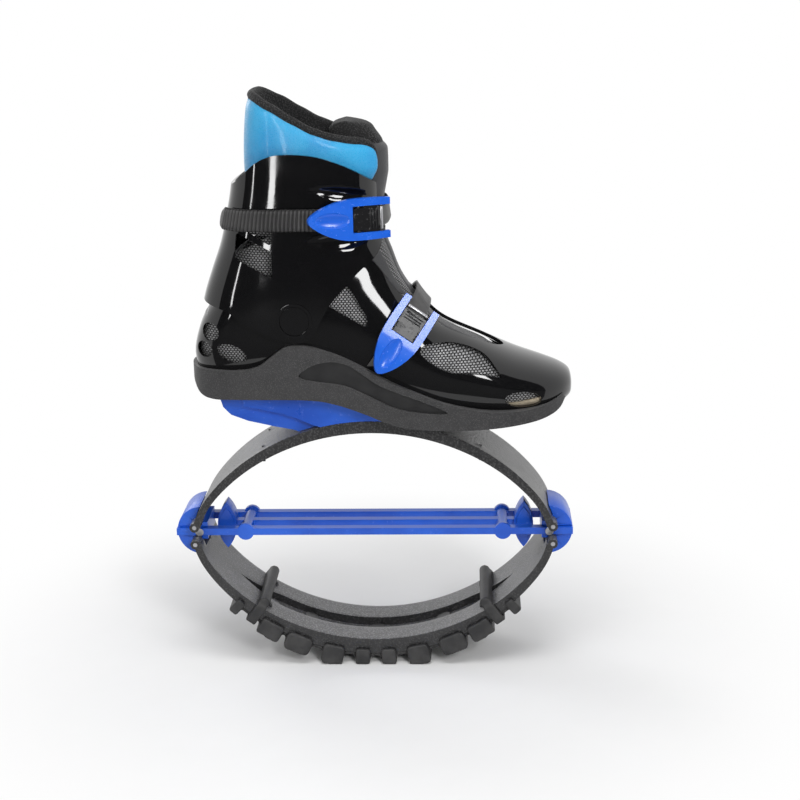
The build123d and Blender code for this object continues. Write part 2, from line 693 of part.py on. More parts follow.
# Mounting wedge: a keel between the upper bow and the heel's raised sole, with wider flanges
with BuildPart() as mounting_wedge:
    for outline, half_width in ((wedge_keel_shares, wedge_keel_half_width), (wedge_flange_shares, bow_width / 2)):
        with BuildSketch(Plane.XZ):
            with BuildLine():
                Polyline(*[boot_place(*share) for share in outline], close=True)
            make_face()
        extrude(amount=half_width, both=True)
    add(sole_region(seat_gap), mode=Mode.SUBTRACT)
    add(bow_region(1, seat_gap, upper_rise), mode=Mode.SUBTRACT)
    with Locations(*[(station, 0, sole_ball_height) for station in bolt_stations]):
        Cylinder(bolt_radius + seat_gap, boot_height, mode=Mode.SUBTRACT)
mounting_wedge.part.label = "mounting_wedge"
export_step(mounting_wedge.part, "parts/mounting_wedge.step")

# Wedge bolts: heads in the upper bow's channel, shanks up into the sole
with BuildPart() as wedge_bolts:
    for station, top in zip(bolt_stations, bolt_tops):
        floor = bow_height(
            1, station, lower_inner_span + bow_end_thickness * channel_depth_share,
            upper_rise - upper_mid_thickness * (1 - channel_depth_share),
        ) - bolt_head_gap
        with BuildSketch(Plane.XY.offset(floor - bolt_head_height)):
            with Locations((station, 0)):
                Circle(bolt_head_radius)
        extrude(amount=bolt_head_height)
        with BuildSketch(Plane.XY.offset(floor)):
            with Locations((station, 0)):
                Circle(bolt_radius)
        extrude(amount=top - floor)
wedge_bolts.part.label = "wedge_bolts"
export_step(wedge_bolts.part, "parts/wedge_bolts.step")

# Sole chassis: a tray that follows the shell
with BuildPart() as sole_plan:
    with BuildSketch(Plane.XY):
        with BuildLine():
            Spline(*[(sole_heel_end + x * boot_length, y * boot_length) for x, y in sole_plan_shares], periodic=True)
        make_face()
    extrude(amount=liner_reach)
with BuildPart() as sole_chassis:
    add(sole_region(0))
    add(sole_plan.part, mode=Mode.INTERSECT)
    add(boot_form(0, 19, -seat_gap), mode=Mode.SUBTRACT)
    for station, top in zip(bolt_stations, bolt_tops):
        with BuildSketch(Plane.XY.offset(top + seat_gap)):
            with Locations((station, 0)):
                Circle(bolt_radius + seat_gap)
        extrude(amount=-boot_width, mode=Mode.SUBTRACT)
sole_chassis.part.label = "sole_chassis"
export_step(sole_chassis.part, "parts/sole_chassis.step")

# Lower shell: a thin moulded foot with wings up to the ankle, a slot for the tongue, side
# windows, heel vents and a toe vent
with BuildPart() as shell_cuts:
    add(side_region(mid_window_shares))
    add(side_region(leaf_window_shares))
    for x, z, long_radius, short_radius, tilt in heel_vents + (toe_vent,):
        with BuildSketch(Plane.XZ):
            with Locations(Location((x, z), tilt)):
                Ellipse(long_radius, short_radius)
        extrude(amount=boot_width, both=True)
    with BuildSketch(Plane.XZ):
        with Locations((pivot_station, pivot_height)):
            Circle(rivet_radius + running_clearance)
    extrude(amount=boot_width, both=True)
    with BuildSketch(Plane.XY.offset(slot_floor)):
        with BuildLine():
            Polyline(
                *[(sole_heel_end + x * boot_length, y * boot_length) for x, y in tongue_slot_shares],
                close=True,
            )
        make_face()
    extrude(amount=boot_height)
with BuildPart() as swing_room:
    with BuildSketch(Plane.XZ):
        with Locations((pivot_station - boot_width, shell_swing_height + boot_width)):
            Rectangle(2 * boot_width, 2 * boot_width)
        with Locations((pivot_station, pivot_height)):
            Circle(shell_swing_radius, mode=Mode.SUBTRACT)
    extrude(amount=boot_width, both=True)
with BuildPart() as lower_shell:
    add(side_region(wing_edge_shares))
    add(boot_form(0, 19, 0), mode=Mode.INTERSECT)
    add(boot_form(1, 19, shell_wall), mode=Mode.SUBTRACT)
    add(shell_cuts.part, mode=Mode.SUBTRACT)
    add(swing_room.part, mode=Mode.SUBTRACT)
    with Locations((instep_anchor_station, boot_width / 2, instep_anchor_height)):
        Cylinder(screw_radius + seat_gap, boot_width, rotation=(90, 0, 0), mode=Mode.SUBTRACT)
lower_shell.part.label = "lower_shell"
export_step(lower_shell.part, "parts/lower_shell.step")

# Footbed: a thin cup in the bottom of the shell
with BuildPart() as footbed:
    rim = [(x, z + footbed_rise_share) for x, z in sole_bottom_shares]
    below = [(rim[-1][0] - 0.1, rim[-1][1]), (-0.2, -0.2), (1.2, -0.2), (1.2, rim[0][1])]
    add(side_region(rim + below))
    add(boot_form(1, 19, shell_wall + seat_gap), mode=Mode.INTERSECT)
    add(boot_form(1, 19, shell_wall + liner_gap - seat_gap), mode=Mode.SUBTRACT)
footbed.part.label = "footbed"
export_step(footbed.part, "parts/footbed.step")

# Foot and cuff share an ankle joint, so their soft parts are divided by arcs about it
with BuildPart() as foot_space:
    with BuildSketch(Plane.XZ):
        with Locations((0, foot_swing_height - liner_reach / 2)):
            Rectangle(2 * liner_reach, liner_reach)
        with Locations((pivot_station, pivot_height)):
            Circle(rear_swing_radius)
        with BuildLine():
            corner = (
                pivot_station + front_swing_radius * math.cos(math.radians(foot_swing_angle)),
                pivot_height + front_swing_radius * math.sin(math.radians(foot_swing_angle)),
            )
            middle = (
                pivot_station + front_swing_radius * math.cos(math.radians(foot_swing_angle) / 2),
                pivot_height + front_swing_radius * math.sin(math.radians(foot_swing_angle) / 2),
            )
            Line((pivot_station, pivot_height), corner)
            ThreePointArc(corner, middle, (pivot_station + front_swing_radius, pivot_height))
            Line((pivot_station + front_swing_radius, pivot_height), (pivot_station, pivot_height))
        make_face()
    extrude(amount=boot_width, both=True)
with BuildPart() as collar_bar:
    reach = liner_reach
    slope = math.radians(collar_swing_angle)
    with BuildSketch(Plane.XZ):
        with BuildLine():
            Polyline(
                (pivot_station - reach, foot_swing_height + swing_gap),
                (pivot_station, foot_swing_height + swing_gap),
                (pivot_station, pivot_height),
                (pivot_station + reach * math.cos(slope), pivot_height + reach * math.sin(slope)),
                (pivot_station + reach, -reach), (pivot_station - reach, -reach),
                close=True,
            )
        make_face()
        with Locations((pivot_station, pivot_height)):
            Circle(rear_swing_radius + swing_gap)
        with BuildLine():
            ThreePointArc(
                (pivot_station, pivot_height + front_swing_radius + swing_gap),
                (pivot_station + front_swing_radius + swing_gap, pivot_height),
                (pivot_station, pivot_height - front_swing_radius - swing_gap),
            )
            Line(
                (pivot_station, pivot_height - front_swing_radius - swing_gap),
                (pivot_station, pivot_height + front_swing_radius + swing_gap),
            )
        make_face()
    extrude(amount=boot_width, both=True)

# Tongue's space, seen from above: the liner leaves it free
with BuildPart() as tongue_plan:
    with BuildSketch(Plane.XY.offset(slot_floor)):
        with BuildLine():
            Polyline(
                *[(sole_heel_end + x * boot_length, y * boot_length) for x, y in tongue_plan_shares],
                close=True,
            )
        make_face()
    extrude(amount=boot_height)
with BuildPart() as tongue_room:
    with BuildSketch(Plane.XY.offset(slot_floor - swing_gap)):
        with BuildLine():
            Polyline(
                *[(sole_heel_end + x * boot_length, y * boot_length) for x, y in tongue_plan_shares],
                close=True,
            )
        make_face()
        offset(amount=swing_gap)
    extrude(amount=boot_height)

# Foot liner: a padded sock, open along the instep for the tongue
with BuildPart() as liner_foot:
    add(foot_space.part)
    add(boot_form(1, 19, shell_wall + liner_gap), mode=Mode.INTERSECT)
    add(boot_form(2, 19, shell_wall + liner_gap + liner_thickness), mode=Mode.SUBTRACT)
    add(tongue_room.part, mode=Mode.SUBTRACT)
liner_foot.part.label = "liner_foot"
export_step(liner_foot.part, "parts/liner_foot.step")

with BuildPart() as tongue_lower:
    add(tongue_plan.part)
    add(foot_space.part, mode=Mode.INTERSECT)
    add(boot_form(1, 19, tongue_inset), mode=Mode.INTERSECT)
    add(boot_form(2, 19, tongue_inset + tongue_depth), mode=Mode.SUBTRACT)
tongue_lower.part.label = "tongue_lower"
export_step(tongue_lower.part, "parts/tongue_lower.step")

# Cuff: a shell round the ankle, open in front, with louvres and a boss at each pivot
with BuildPart() as cuff_cuts:
    add(side_region(lower_louvre_shares))
    add(side_region(upper_louvre_shares))
    with Locations((cuff_gap_station + boot_width, 0, cuff_gap_height + boot_height / 2)):
        Box(2 * boot_width, cuff_gap_width, boot_height)
    with BuildSketch(Plane.XZ):
        with Locations((pivot_station, pivot_height)):
            Circle(rivet_radius + running_clearance)
    extrude(amount=boot_width, both=True)
    for side in (-1, 1):
        with BuildSketch(Plane.XZ.offset(-side * (rivet_head_seat - running_clearance))):
            with Locations((pivot_station, pivot_height)):
                Circle(rivet_head_radius + running_clearance)
        extrude(amount=-side * boot_width)
with BuildPart() as cuff:
    add(cuff_form(0))
    add(side_region(cuff_edge_shares), mode=Mode.INTERSECT)
    for side in (-1, 1):
        with BuildSketch(Plane.XZ.offset(-side * pivot_pad_root)):
            with Locations((pivot_station, pivot_height)):
                Circle(pivot_pad_radius)
        extrude(amount=-side * (pivot_pad_face - pivot_pad_root))
    add(cuff_form(shell_wall), mode=Mode.SUBTRACT)
    add(cuff_cuts.part, mode=Mode.SUBTRACT)
    with Locations((anchor_station, boot_width / 2, strap_height)):
        Cylinder(screw_radius + seat_gap, boot_width, rotation=(90, 0, 0), mode=Mode.SUBTRACT)
cuff.part.label = "cuff"
export_step(cuff.part, "parts/cuff.step")

# Cuff rivets: a wide head outside each boss and a washer head inside the shell
with BuildPart() as cuff_rivets:
    for side in (-1, 1):
        for radius, start, stop in (
            (rivet_head_radius, rivet_head_seat, rivet_head_face),
            (rivet_radius, rivet_back_face, rivet_head_face),
            (rivet_back_radius, rivet_back_face, rivet_back_seat),
        ):
            with BuildSketch(Plane.XZ.offset(-side * start)):
                with Locations((pivot_station, pivot_height)):
                    Circle(radius)
            extrude(amount=-side * (stop - start))
cuff_rivets.part.label = "cuff_rivets"
export_step(cuff_rivets.part, "parts/cuff_rivets.step")

# Straps: ladder straps that lie over the buckle bases, screwed on at the inner side
with BuildPart() as cuff_strap:
    low = strap_height - strap_width / 2
    high = strap_height + strap_width / 2
    add(cuff_band(low, high, -strap_lift - strap_thickness))
    add(cuff_band(low - strap_lift, high + strap_lift, -strap_lift), mode=Mode.SUBTRACT)
    with Locations((strap_tail_end - boot_width, 0, strap_height)):
        Box(2 * boot_width, 2 * boot_width, 2 * strap_width, mode=Mode.SUBTRACT)
    with Locations((anchor_station - anchor_end_radius - boot_width, boot_width + strap_width, strap_height)):
        Box(2 * boot_width, 2 * boot_width, 2 * strap_width, mode=Mode.SUBTRACT)
    with Locations((anchor_station, boot_width / 2, strap_height)):
        Cylinder(screw_radius + seat_gap, boot_width, rotation=(90, 0, 0), mode=Mode.SUBTRACT)
cuff_strap.part.label = "cuff_strap"
export_step(cuff_strap.part, "parts/cuff_strap.step")

with BuildPart() as instep_strap:
    add(boot_form(3, 13, -strap_lift - strap_thickness))
    add(boot_form(3, 13, -strap_lift), mode=Mode.SUBTRACT)
    instep_plane = buckle_plane(instep_buckle_place, instep_buckle_along, instep_buckle_outward)
    with BuildSketch(instep_plane):
        Rectangle(2 * liner_reach, strap_width)
    extrude(amount=liner_reach, both=True, mode=Mode.INTERSECT)
    with Locations((0, -liner_reach / 2, instep_tail_height - liner_reach)):
        Box(2 * liner_reach, liner_reach, 2 * liner_reach, mode=Mode.SUBTRACT)
    with Locations((0, liner_reach / 2, instep_anchor_height - anchor_end_radius - liner_reach)):
        Box(2 * liner_reach, liner_reach, 2 * liner_reach, mode=Mode.SUBTRACT)
    with Locations((instep_anchor_station, boot_width / 2, instep_anchor_height)):
        Cylinder(screw_radius + seat_gap, boot_width, rotation=(90, 0, 0), mode=Mode.SUBTRACT)
instep_strap.part.label = "instep_strap"
export_step(instep_strap.part, "parts/instep_strap.step")

# Collar liner and upper tongue swing with the cuff
with BuildPart() as liner_collar:
    add(side_region(collar_top_shares))
    add(collar_bar.part, mode=Mode.SUBTRACT)
    add(boot_form(2, 19, shell_wall + liner_gap), mode=Mode.INTERSECT)
    add(boot_form(2, 19, shell_wall + liner_gap + liner_thickness), mode=Mode.SUBTRACT)
    with Locations((collar_gap_station + boot_width, 0, sole_ball_height)):
        Box(2 * boot_width, collar_gap_width, 3 * boot_height, mode=Mode.SUBTRACT)
liner_collar.part.label = "liner_collar"
export_step(liner_collar.part, "parts/liner_collar.step")

with BuildPart() as tongue_upper:
    with BuildSketch(Plane.XZ):
        with BuildLine():
            Polyline(*[boot_place(*share) for share in tongue_side_shares], close=True)
        make_face()
    extrude(amount=tongue_width / 2, both=True)
    add(collar_bar.part, mode=Mode.SUBTRACT)
tongue_upper.part.label = "tongue_upper"
export_step(tongue_upper.part, "parts/tongue_upper.step")

# Buckles: on each, a base whose curved floor lies on the shell, a blue lever on a pin through
# the base's walls, and a release plate on a smaller pin in the lever's opening
for name, plane, low_skin, high_skin in (
    (
        "cuff", buckle_plane(cuff_buckle_place, cuff_buckle_along, cuff_buckle_outward),
        cuff_band(strap_height - strap_width, strap_height + strap_width, -base_lift),
        cuff_band(strap_height - strap_width, strap_height + strap_width, -base_lift - base_thickness),
    ),
    (
        "instep", buckle_plane(instep_buckle_place, instep_buckle_along, instep_buckle_outward),
        boot_form(3, 13, -base_lift), boot_form(3, 13, -base_lift - base_thickness),
    ),
):
    side_plane = Plane(plane.origin, x_dir=plane.x_dir, z_dir=-plane.y_dir)
    pin_places = (
        (-lever_pin_setback, lever_pin_height, lever_pin_radius),
        (-release_pin_setback, release_bottom + release_thickness / 2, release_pin_radius),
    )
    with BuildPart() as walls:
        with BuildSketch(side_plane):
            with Locations((-base_length / 2 + base_wall, base_wall_top - liner_reach / 2)):
                Rectangle(base_length, liner_reach)
            for along, height, radius in pin_places:
                with Locations((along, height)):
                    Circle(radius + base_wall)
                with Locations((along, height / 2)):
                    Rectangle(2 * (radius + base_wall), height)
        extrude(amount=release_neck_width / 2 + base_wall + running_clearance, both=True)
        with BuildSketch(plane.offset(-liner_reach)):
            Rectangle(liner_reach, release_neck_width + 2 * running_clearance)
        extrude(amount=2 * liner_reach, mode=Mode.SUBTRACT)
    with BuildPart() as base:
        with BuildSketch(plane.offset(-buckle_reach)):
            with Locations((-base_length / 2 + base_wall, 0)):
                Rectangle(base_length, release_neck_width + 2 * (base_wall + running_clearance))
        extrude(amount=2 * buckle_reach)
        add(high_skin, mode=Mode.INTERSECT)
        with BuildSketch(plane.offset(-buckle_reach)):
            Rectangle(liner_reach, liner_reach)
        extrude(amount=3 * buckle_reach, mode=Mode.INTERSECT)
        add(walls.part)
        add(low_skin, mode=Mode.SUBTRACT)
        with BuildSketch(plane.offset(-buckle_reach)):
            Rectangle(liner_reach, liner_reach)
        extrude(amount=3 * buckle_reach, mode=Mode.INTERSECT)
        with BuildSketch(side_plane):
            for along, height, radius in pin_places:
                with Locations((along, height)):
                    Circle(radius + pin_clearance)
        extrude(amount=lever_width, both=True, mode=Mode.SUBTRACT)
    base.part.label = name + "_base"
    export_step(base.part, "parts/" + name + "_base.step")

    with BuildPart() as lever:
        with BuildSketch(side_plane):
            top = lever_pin_height + lever_thickness / 2
            with BuildLine():
                Line((lever_thickness / 2 - lever_pin_setback, top), (-lever_flat, top))
                Spline(
                    (-lever_flat, top), (-(lever_flat + lever_length) / 2, top - lever_drop * 0.3),
                    (-lever_length, top - lever_drop), tangents=((-1, 0), (-1, -0.45)),
                )
                Line((-lever_length, top - lever_drop), (-lever_length, top - lever_drop - lever_thickness / 2))
                Spline(
                    (-lever_length, top - lever_drop - lever_thickness / 2),
                    (-(lever_flat + lever_length) / 2, top - lever_drop * 0.3 - lever_thickness),
                    (-lever_flat, top - lever_thickness), tangents=((1, 0.45), (1, 0)),
                )
                Line((-lever_flat, top - lever_thickness), (lever_thickness / 2 - lever_pin_setback, top - lever_thickness))
                ThreePointArc(
                    (lever_thickness / 2 - lever_pin_setback, top - lever_thickness),
                    (lever_thickness - lever_pin_setback, lever_pin_height),
                    (lever_thickness / 2 - lever_pin_setback, top),
                )
            make_face()
        extrude(amount=lever_width / 2, both=True)
        with BuildSketch(plane.offset(-liner_reach)):
            with BuildLine():
                front = lever_thickness
                Line((front, -lever_width / 2), (front, lever_width / 2))
                Line((front, lever_width / 2), (-lever_flat, lever_width / 2))
                Spline(
                    (-lever_flat, lever_width / 2), (-lever_length * lever_shoulder_share, lever_tip_width / 2),
                    (-lever_length, 0), (-lever_length * lever_shoulder_share, -lever_tip_width / 2),
                    (-lever_flat, -lever_width / 2), tangents=((-1, 0), (1, 0)),
                )
                Line((-lever_flat, -lever_width / 2), (front, -lever_width / 2))
            make_face()
        extrude(amount=2 * liner_reach, mode=Mode.INTERSECT)
        with BuildSketch(plane.offset(-liner_reach)):
            with Locations(((front - lever_opening_length) / 2, 0)):
                RectangleRounded(lever_opening_length + front, lever_opening_width, lever_thickness / 4)
            with Locations((front, 0)):
                Rectangle(2 * front, lever_opening_width)
        extrude(amount=2 * liner_reach, mode=Mode.SUBTRACT)
        dish_middle = (lever_length + lever_opening_length) / 2
        with BuildSketch(plane.offset(lever_dish_floor)):
            with Locations((-dish_middle + lever_dish_depth, 0)):
                Ellipse(lever_dish_width / 2, lever_dish_length / 2)
        extrude(amount=lever_thickness * 2, mode=Mode.SUBTRACT)
        with BuildSketch(side_plane):
            with Locations((-lever_pin_setback, lever_pin_height)):
                Circle(lever_pin_radius + pin_clearance)
        extrude(amount=lever_width, both=True, mode=Mode.SUBTRACT)
    lever.part.label = name + "_lever"
    export_step(lever.part, "parts/" + name + "_lever.step")

    with BuildPart() as lever_pin:
        with BuildSketch(side_plane):
            with Locations((-lever_pin_setback, lever_pin_height)):
                Circle(lever_pin_radius)
        extrude(amount=lever_pin_length / 2, both=True)
    lever_pin.part.label = name + "_lever_pin"
    export_step(lever_pin.part, "parts/" + name + "_lever_pin.step")

    with BuildPart() as release:
        with BuildSketch(plane.offset(release_bottom)):
            with Locations((-(release_start + release_end) / 2, 0)):
                Rectangle(release_end - release_start, release_neck_width)
            with Locations((-(release_start + release_end - release_neck) / 2, 0)):
                Rectangle(release_end - release_neck - release_start, release_width)
        extrude(amount=release_thickness)
        with BuildSketch(side_plane):
            for rib in range(release_ribs):
                with Locations((-release_start - (rib + 1) * release_rib_pitch, release_bottom + release_thickness)):
                    Circle(release_rib_radius)
        extrude(amount=release_neck_width / 2 - release_rib_pitch / 2, both=True)
        with BuildSketch(side_plane):
            with Locations((-release_pin_setback, release_bottom + release_thickness / 2)):
                Circle(release_pin_radius + pin_clearance)
        extrude(amount=lever_width, both=True, mode=Mode.SUBTRACT)
    release.part.label = name + "_release"
    export_step(release.part, "parts/" + name + "_release.step")

    with BuildPart() as release_pin:
        with BuildSketch(side_plane):
            with Locations((-release_pin_setback, release_bottom + release_thickness / 2)):
                Circle(release_pin_radius)
        extrude(amount=release_neck_width / 2 + base_wall + running_clearance, both=True)
    release_pin.part.label = name + "_release_pin"
    export_step(release_pin.part, "parts/" + name + "_release_pin.step")

# Strap screws: domed heads on the straps' inner-side ends, shanks through the shells
for name, station, height, face in (
    ("cuff_strap_screw", anchor_station, strap_height, cuff_anchor_face),
    ("instep_strap_screw", instep_anchor_station, instep_anchor_height, instep_anchor_face),
):
    with BuildPart() as screw:
        with BuildSketch(Plane.XZ.offset(-face)):
            with Locations((station, height)):
                Circle(screw_head_radius)
        extrude(amount=-screw_head_height)
        with BuildSketch(Plane.XZ.offset(-face)):
            with Locations((station, height)):
                Circle(screw_radius)
        extrude(amount=screw_length)
    screw.part.label = name
    export_step(screw.part, "parts/" + name + ".step")
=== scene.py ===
import math

import bmesh
import bpy
import numpy as np
from mathutils import Matrix, Vector


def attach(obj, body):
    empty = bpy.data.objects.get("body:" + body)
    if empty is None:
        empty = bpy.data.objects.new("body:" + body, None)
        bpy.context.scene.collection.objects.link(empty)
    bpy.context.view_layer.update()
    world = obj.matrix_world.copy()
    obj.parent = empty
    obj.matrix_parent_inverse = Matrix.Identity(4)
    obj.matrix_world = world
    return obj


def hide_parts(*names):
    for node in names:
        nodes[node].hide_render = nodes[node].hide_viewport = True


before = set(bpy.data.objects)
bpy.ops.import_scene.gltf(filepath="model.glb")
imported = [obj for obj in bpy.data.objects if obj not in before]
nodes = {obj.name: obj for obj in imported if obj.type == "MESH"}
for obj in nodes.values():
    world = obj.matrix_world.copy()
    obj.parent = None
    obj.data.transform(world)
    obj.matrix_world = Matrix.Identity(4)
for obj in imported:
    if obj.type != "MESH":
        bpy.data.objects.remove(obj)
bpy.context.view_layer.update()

scene = bpy.context.scene


# Tread: a moulded black rubber strip whose lugs wrap the lower bow's sides, with two rubber
# loops over the bow. Its material starts the finishes, which all add their nodes one way.
class Value:
    """A number over a surface: arithmetic on it adds Math nodes to its graph."""

    def __init__(self, graph, socket):
        self.graph = graph
        self.socket = socket

    def __add__(self, other):
        return self.graph.maths("ADD", self, other)

    def __sub__(self, other):
        return self.graph.maths("SUBTRACT", self, other)

    def __rsub__(self, other):
        return self.graph.maths("SUBTRACT", other, self)

    def __mul__(self, other):
        return self.graph.maths("MULTIPLY", self, other)


class Graph:
    """The shader nodes of a material or the world, and one method that adds any node."""

    def __init__(self, owner):
        owner.use_nodes = True
        self.tree = owner.node_tree

    def node(self, kind, settings=(), output=0, **inputs):
        """Adds a node: its settings first, then its inputs by name or as i0, i1 by number."""
        node = self.tree.nodes.new("ShaderNode" + kind)
        for name, setting in dict(settings).items():
            setattr(node, name, setting)
        for name, given in inputs.items():
            by_number = name[0] == "i" and name[1:].isdigit()
            socket = node.inputs[int(name[1:]) if by_number else name.replace("_", " ")]
            if isinstance(given, Value):
                self.tree.links.new(given.socket, socket)
            else:
                socket.default_value = given
        return Value(self, node.outputs[output])

    def link(self, value, node, socket):
        """Feeds a value into a node that the graph has from the start."""
        self.tree.links.new(value.socket, self.tree.nodes[node].inputs[socket])

    def maths(self, operation, first, second):
        return self.node("Math", {"operation": operation}, i0=first, i1=second)

    def seen(self):
        """1 for what the camera sees, straight or mirrored or through, and 0 for light."""
        rays = (f"Is {kind} Ray" for kind in ("Camera", "Glossy", "Transmission"))
        camera, glossy, through = (self.node("LightPath", (), ray) for ray in rays)
        return self.maths("MAXIMUM", self.maths("MAXIMUM", camera, glossy), through)


class Finish(Graph):
    """A material, with the values over the surface that feed its shader."""

    def __init__(self, name, colour, roughness, **constants):
        self.material = bpy.data.materials.new(name)
        super().__init__(self.material)
        self.where = self.place()
        self.shader = self.tree.nodes["Principled BSDF"]
        self.shader.inputs["Base Color"].default_value = (*colour, 1.0)
        self.shader.inputs["Roughness"].default_value = roughness
        for socket, number in constants.items():
            self.shader.inputs[socket.replace("_", " ")].default_value = number

    def place(self, stretch=(1, 1, 1)):
        """The place on the object, stretched along its axes."""
        return self.node("Mapping", (), 0, Vector=self.node("TexCoord", (), "Object"), Scale=stretch)

    def axis(self, number, vector):
        """One number of a vector: 0 is x, 1 is y and 2 is z."""
        return self.node("SeparateXYZ", (), number, i0=vector)

    def ramp(self, value, low, high):
        """0 where the value is low, 1 where it is high, smooth between."""
        smooth = {"interpolation_type": "SMOOTHSTEP"}
        return self.node("MapRange", smooth, i0=value, i1=low, i2=high)

    def painted_light_from_above(self, low, high):
        """1 on faces that look up and 0 on others, between two heights of their normal: the mask that paints
        faces lighter where they look up, as painted light from above.
        """
        return self.ramp(self.axis(2, self.node("NewGeometry", (), "Normal")), low, high)

    def mix(self, share, first, second):
        """The first colour where share is 0 and the second where it is 1."""
        colours = [item if isinstance(item, Value) else (*item, 1.0) for item in (first, second)]
        return self.node("Mix", {"data_type": "RGBA"}, 2, i0=share, i6=colours[0], i7=colours[1])

    def noise(self, scale, detail=3.0, where=None):
        return self.node("TexNoise", (), 0, Vector=where or self.where, Scale=scale, Detail=detail)

    def cells(self, scale, feature="F1"):
        return self.node("TexVoronoi", {"feature": feature}, 0, Vector=self.where, Scale=scale)

    def feed(self, **inputs):
        for name, value in inputs.items():
            self.link(value, "Principled BSDF", name.replace("_", " "))

    def relief(self, height, distance, strength=1.0):
        self.feed(Normal=self.node("Bump", (), 0, Height=height, Distance=distance, Strength=strength))


def edged(piece, merge, width, steps, angle):
    """Merges the piece's points and rounds its edges that are sharper than an angle."""
    weld = piece.modifiers.new("Merge", "WELD")
    weld.merge_threshold = merge
    rounding = piece.modifiers.new("Edges", "BEVEL")
    rounding.width = width
    rounding.segments = steps
    rounding.limit_method = "ANGLE"
    rounding.angle_limit = math.radians(angle)
    rounding.harden_normals = True


def dressed(name, finish, edge=0.0, steps=2):
    """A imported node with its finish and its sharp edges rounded."""
    piece = nodes[name]
    piece.data.materials.clear()
    piece.data.materials.append(finish.material)
    if edge:
        edged(piece, merge=1e-6, width=edge, steps=steps, angle=38)
    return piece


rubber = Finish("tread_rubber", (0.03, 0.03, 0.032), 0.72)
bloom = rubber.noise(70.0, 5.0)
grain = rubber.noise(1400.0, 2.0)
scuffs = rubber.ramp(rubber.noise(240.0, where=rubber.place((1.0, 3.0, 1.0))), 0.58, 0.72)
rubber.feed(
    Base_Color=rubber.mix(rubber.ramp(bloom, 0.3, 0.7), (0.012, 0.012, 0.013), (0.040, 0.039, 0.039)),
    Roughness=bloom * 0.25 + 0.45 + scuffs * 0.1,
)
rubber.relief(grain + bloom * 0.5 + scuffs * 0.4, 0.00012, 0.7)
moulded = (("tread", 0.0010, 9), ("tread_loop_rear", 0.0008, 4), ("tread_loop_front", 0.0008, 4))
for name, grid, rounds in moulded:
    lump = dressed(name, rubber)
    soft = lump.modifiers.new("Moulded", "REMESH")
    soft.mode = "VOXEL"
    soft.voxel_size = grid
    soft.use_smooth_shade = True
    round_off = lump.modifiers.new("Rounded", "SMOOTH")
    round_off.factor = 0.5
    round_off.iterations = rounds

# Tread rivets: black button rivets pressed through the bow's channel into the tread
button_black = Finish("button_black_plastic", (0.012, 0.012, 0.013), 0.35)
wear = button_black.noise(160.0, 5.0)
button_black.feed(
    Base_Color=button_black.mix(button_black.ramp(wear, 0.5, 0.85), (0.010, 0.010, 0.011),
                                (0.055, 0.055, 0.057)),
    Roughness=wear * 0.4 + 0.16,
)
button_black.relief(wear, 0.0001, 0.5)
dressed("tread_rivets", button_black, edge=0.0006)

# Bows: two half-ellipse leaf springs of glass-filled plastic, with a channel between two
# rails. The moulded surface is pebbled; its upper faces are painted paler as painted light from above, and
# its sides and edges darker as painted shade.
pebbled = Finish("pebbled_grey_plastic", (0.05, 0.05, 0.052), 0.55)
pebble = pebbled.ramp(pebbled.cells(620.0), 0.55, 0.1)
patch = pebbled.noise(90.0, 4.0)
# Painted light and shade: the pale tone goes on faces that look up and the dark tone on the sides and edges,
# as light from above would fall.
dark = pebbled.mix(pebble * 0.6 + patch * 0.4, (0.010, 0.010, 0.011), (0.052, 0.051, 0.052))
pale = pebbled.mix(pebble * 0.7 + patch * 0.3, (0.050, 0.050, 0.052), (0.300, 0.296, 0.296))
pebbled.feed(
    Base_Color=pebbled.mix(pebbled.painted_light_from_above(-0.1, 0.8), dark, pale),
    Roughness=pebble * 0.26 + 0.34,
)
pebbled.relief(pebble + patch * 0.4, 0.00020, 0.8)
for name in ("lower_bow", "upper_bow"):
    dressed(name, pebbled, edge=0.0011)

# Hinge blocks, tension spring and wedge: satin royal-blue plastic, scuffed paler in places.
# The blocks cap the bows' knuckles, and the three-bar spring hooks on between them.
royal = Finish("royal_blue_plastic", (0.008, 0.095, 0.60), 0.34)
cloud = royal.noise(22.0, 4.0)
rubbed = royal.ramp(royal.noise(320.0, 5.0), 0.60, 0.78)
blue = royal.mix(royal.ramp(cloud, 0.3, 0.75), (0.004, 0.072, 0.50), (0.012, 0.120, 0.68))
royal.feed(
    Base_Color=royal.mix(rubbed * 0.35, blue, (0.12, 0.24, 0.80)),
    Roughness=cloud * 0.16 + 0.22 + rubbed * 0.15,
)
royal.relief(royal.noise(900.0, 2.0) + rubbed, 0.00007, 0.5)
for name in ("rear_hinge_block", "front_hinge_block", "mounting_wedge"):
    dressed(name, royal, edge=0.0009)
dressed("tension_spring", royal, edge=0.0010)

# Knuckle pins, spring pins, bolts and screws: plated steel with fine turning marks
plated = Finish("plated_steel", (0.5, 0.5, 0.52), 0.3, Metallic=1.0)
marks = plated.noise(500.0, 2.0, plated.place((1.0, 30.0, 1.0)))
plated.feed(
    Base_Color=plated.mix(plated.noise(150.0), (0.36, 0.36, 0.38), (0.60, 0.60, 0.62)),
    Roughness=marks * 0.25 + 0.2,
)
plated.relief(marks, 0.00002, 0.4)
for name in ("knuckle_pins", "spring_pins", "wedge_bolts", "instep_strap_screw", "cuff_strap_screw",
             "cuff_lever_pin", "instep_lever_pin", "cuff_release_pin", "instep_release_pin"):
    dressed(name, plated, edge=0.0003)

# Sole chassis: a matt grey tray moulded to the shell's underside, bolted through the wedge.
# Each side carries a crescent-shaped recess with a groove running on towards the toe.
boot_length, boot_height = 0.298, 0.253
heel_end, ball_height = -0.140, 0.203
seat_gap = 0.00025
reach = 0.070
tool_top = 0.4


def spot(share_x, share_z):
    """A place on the boot's side view, from shares of its length and height."""
    return Vector((heel_end + share_x * boot_length, 0, ball_height + share_z * boot_height))


def spots(shares):
    return [spot(*share) for share in shares]


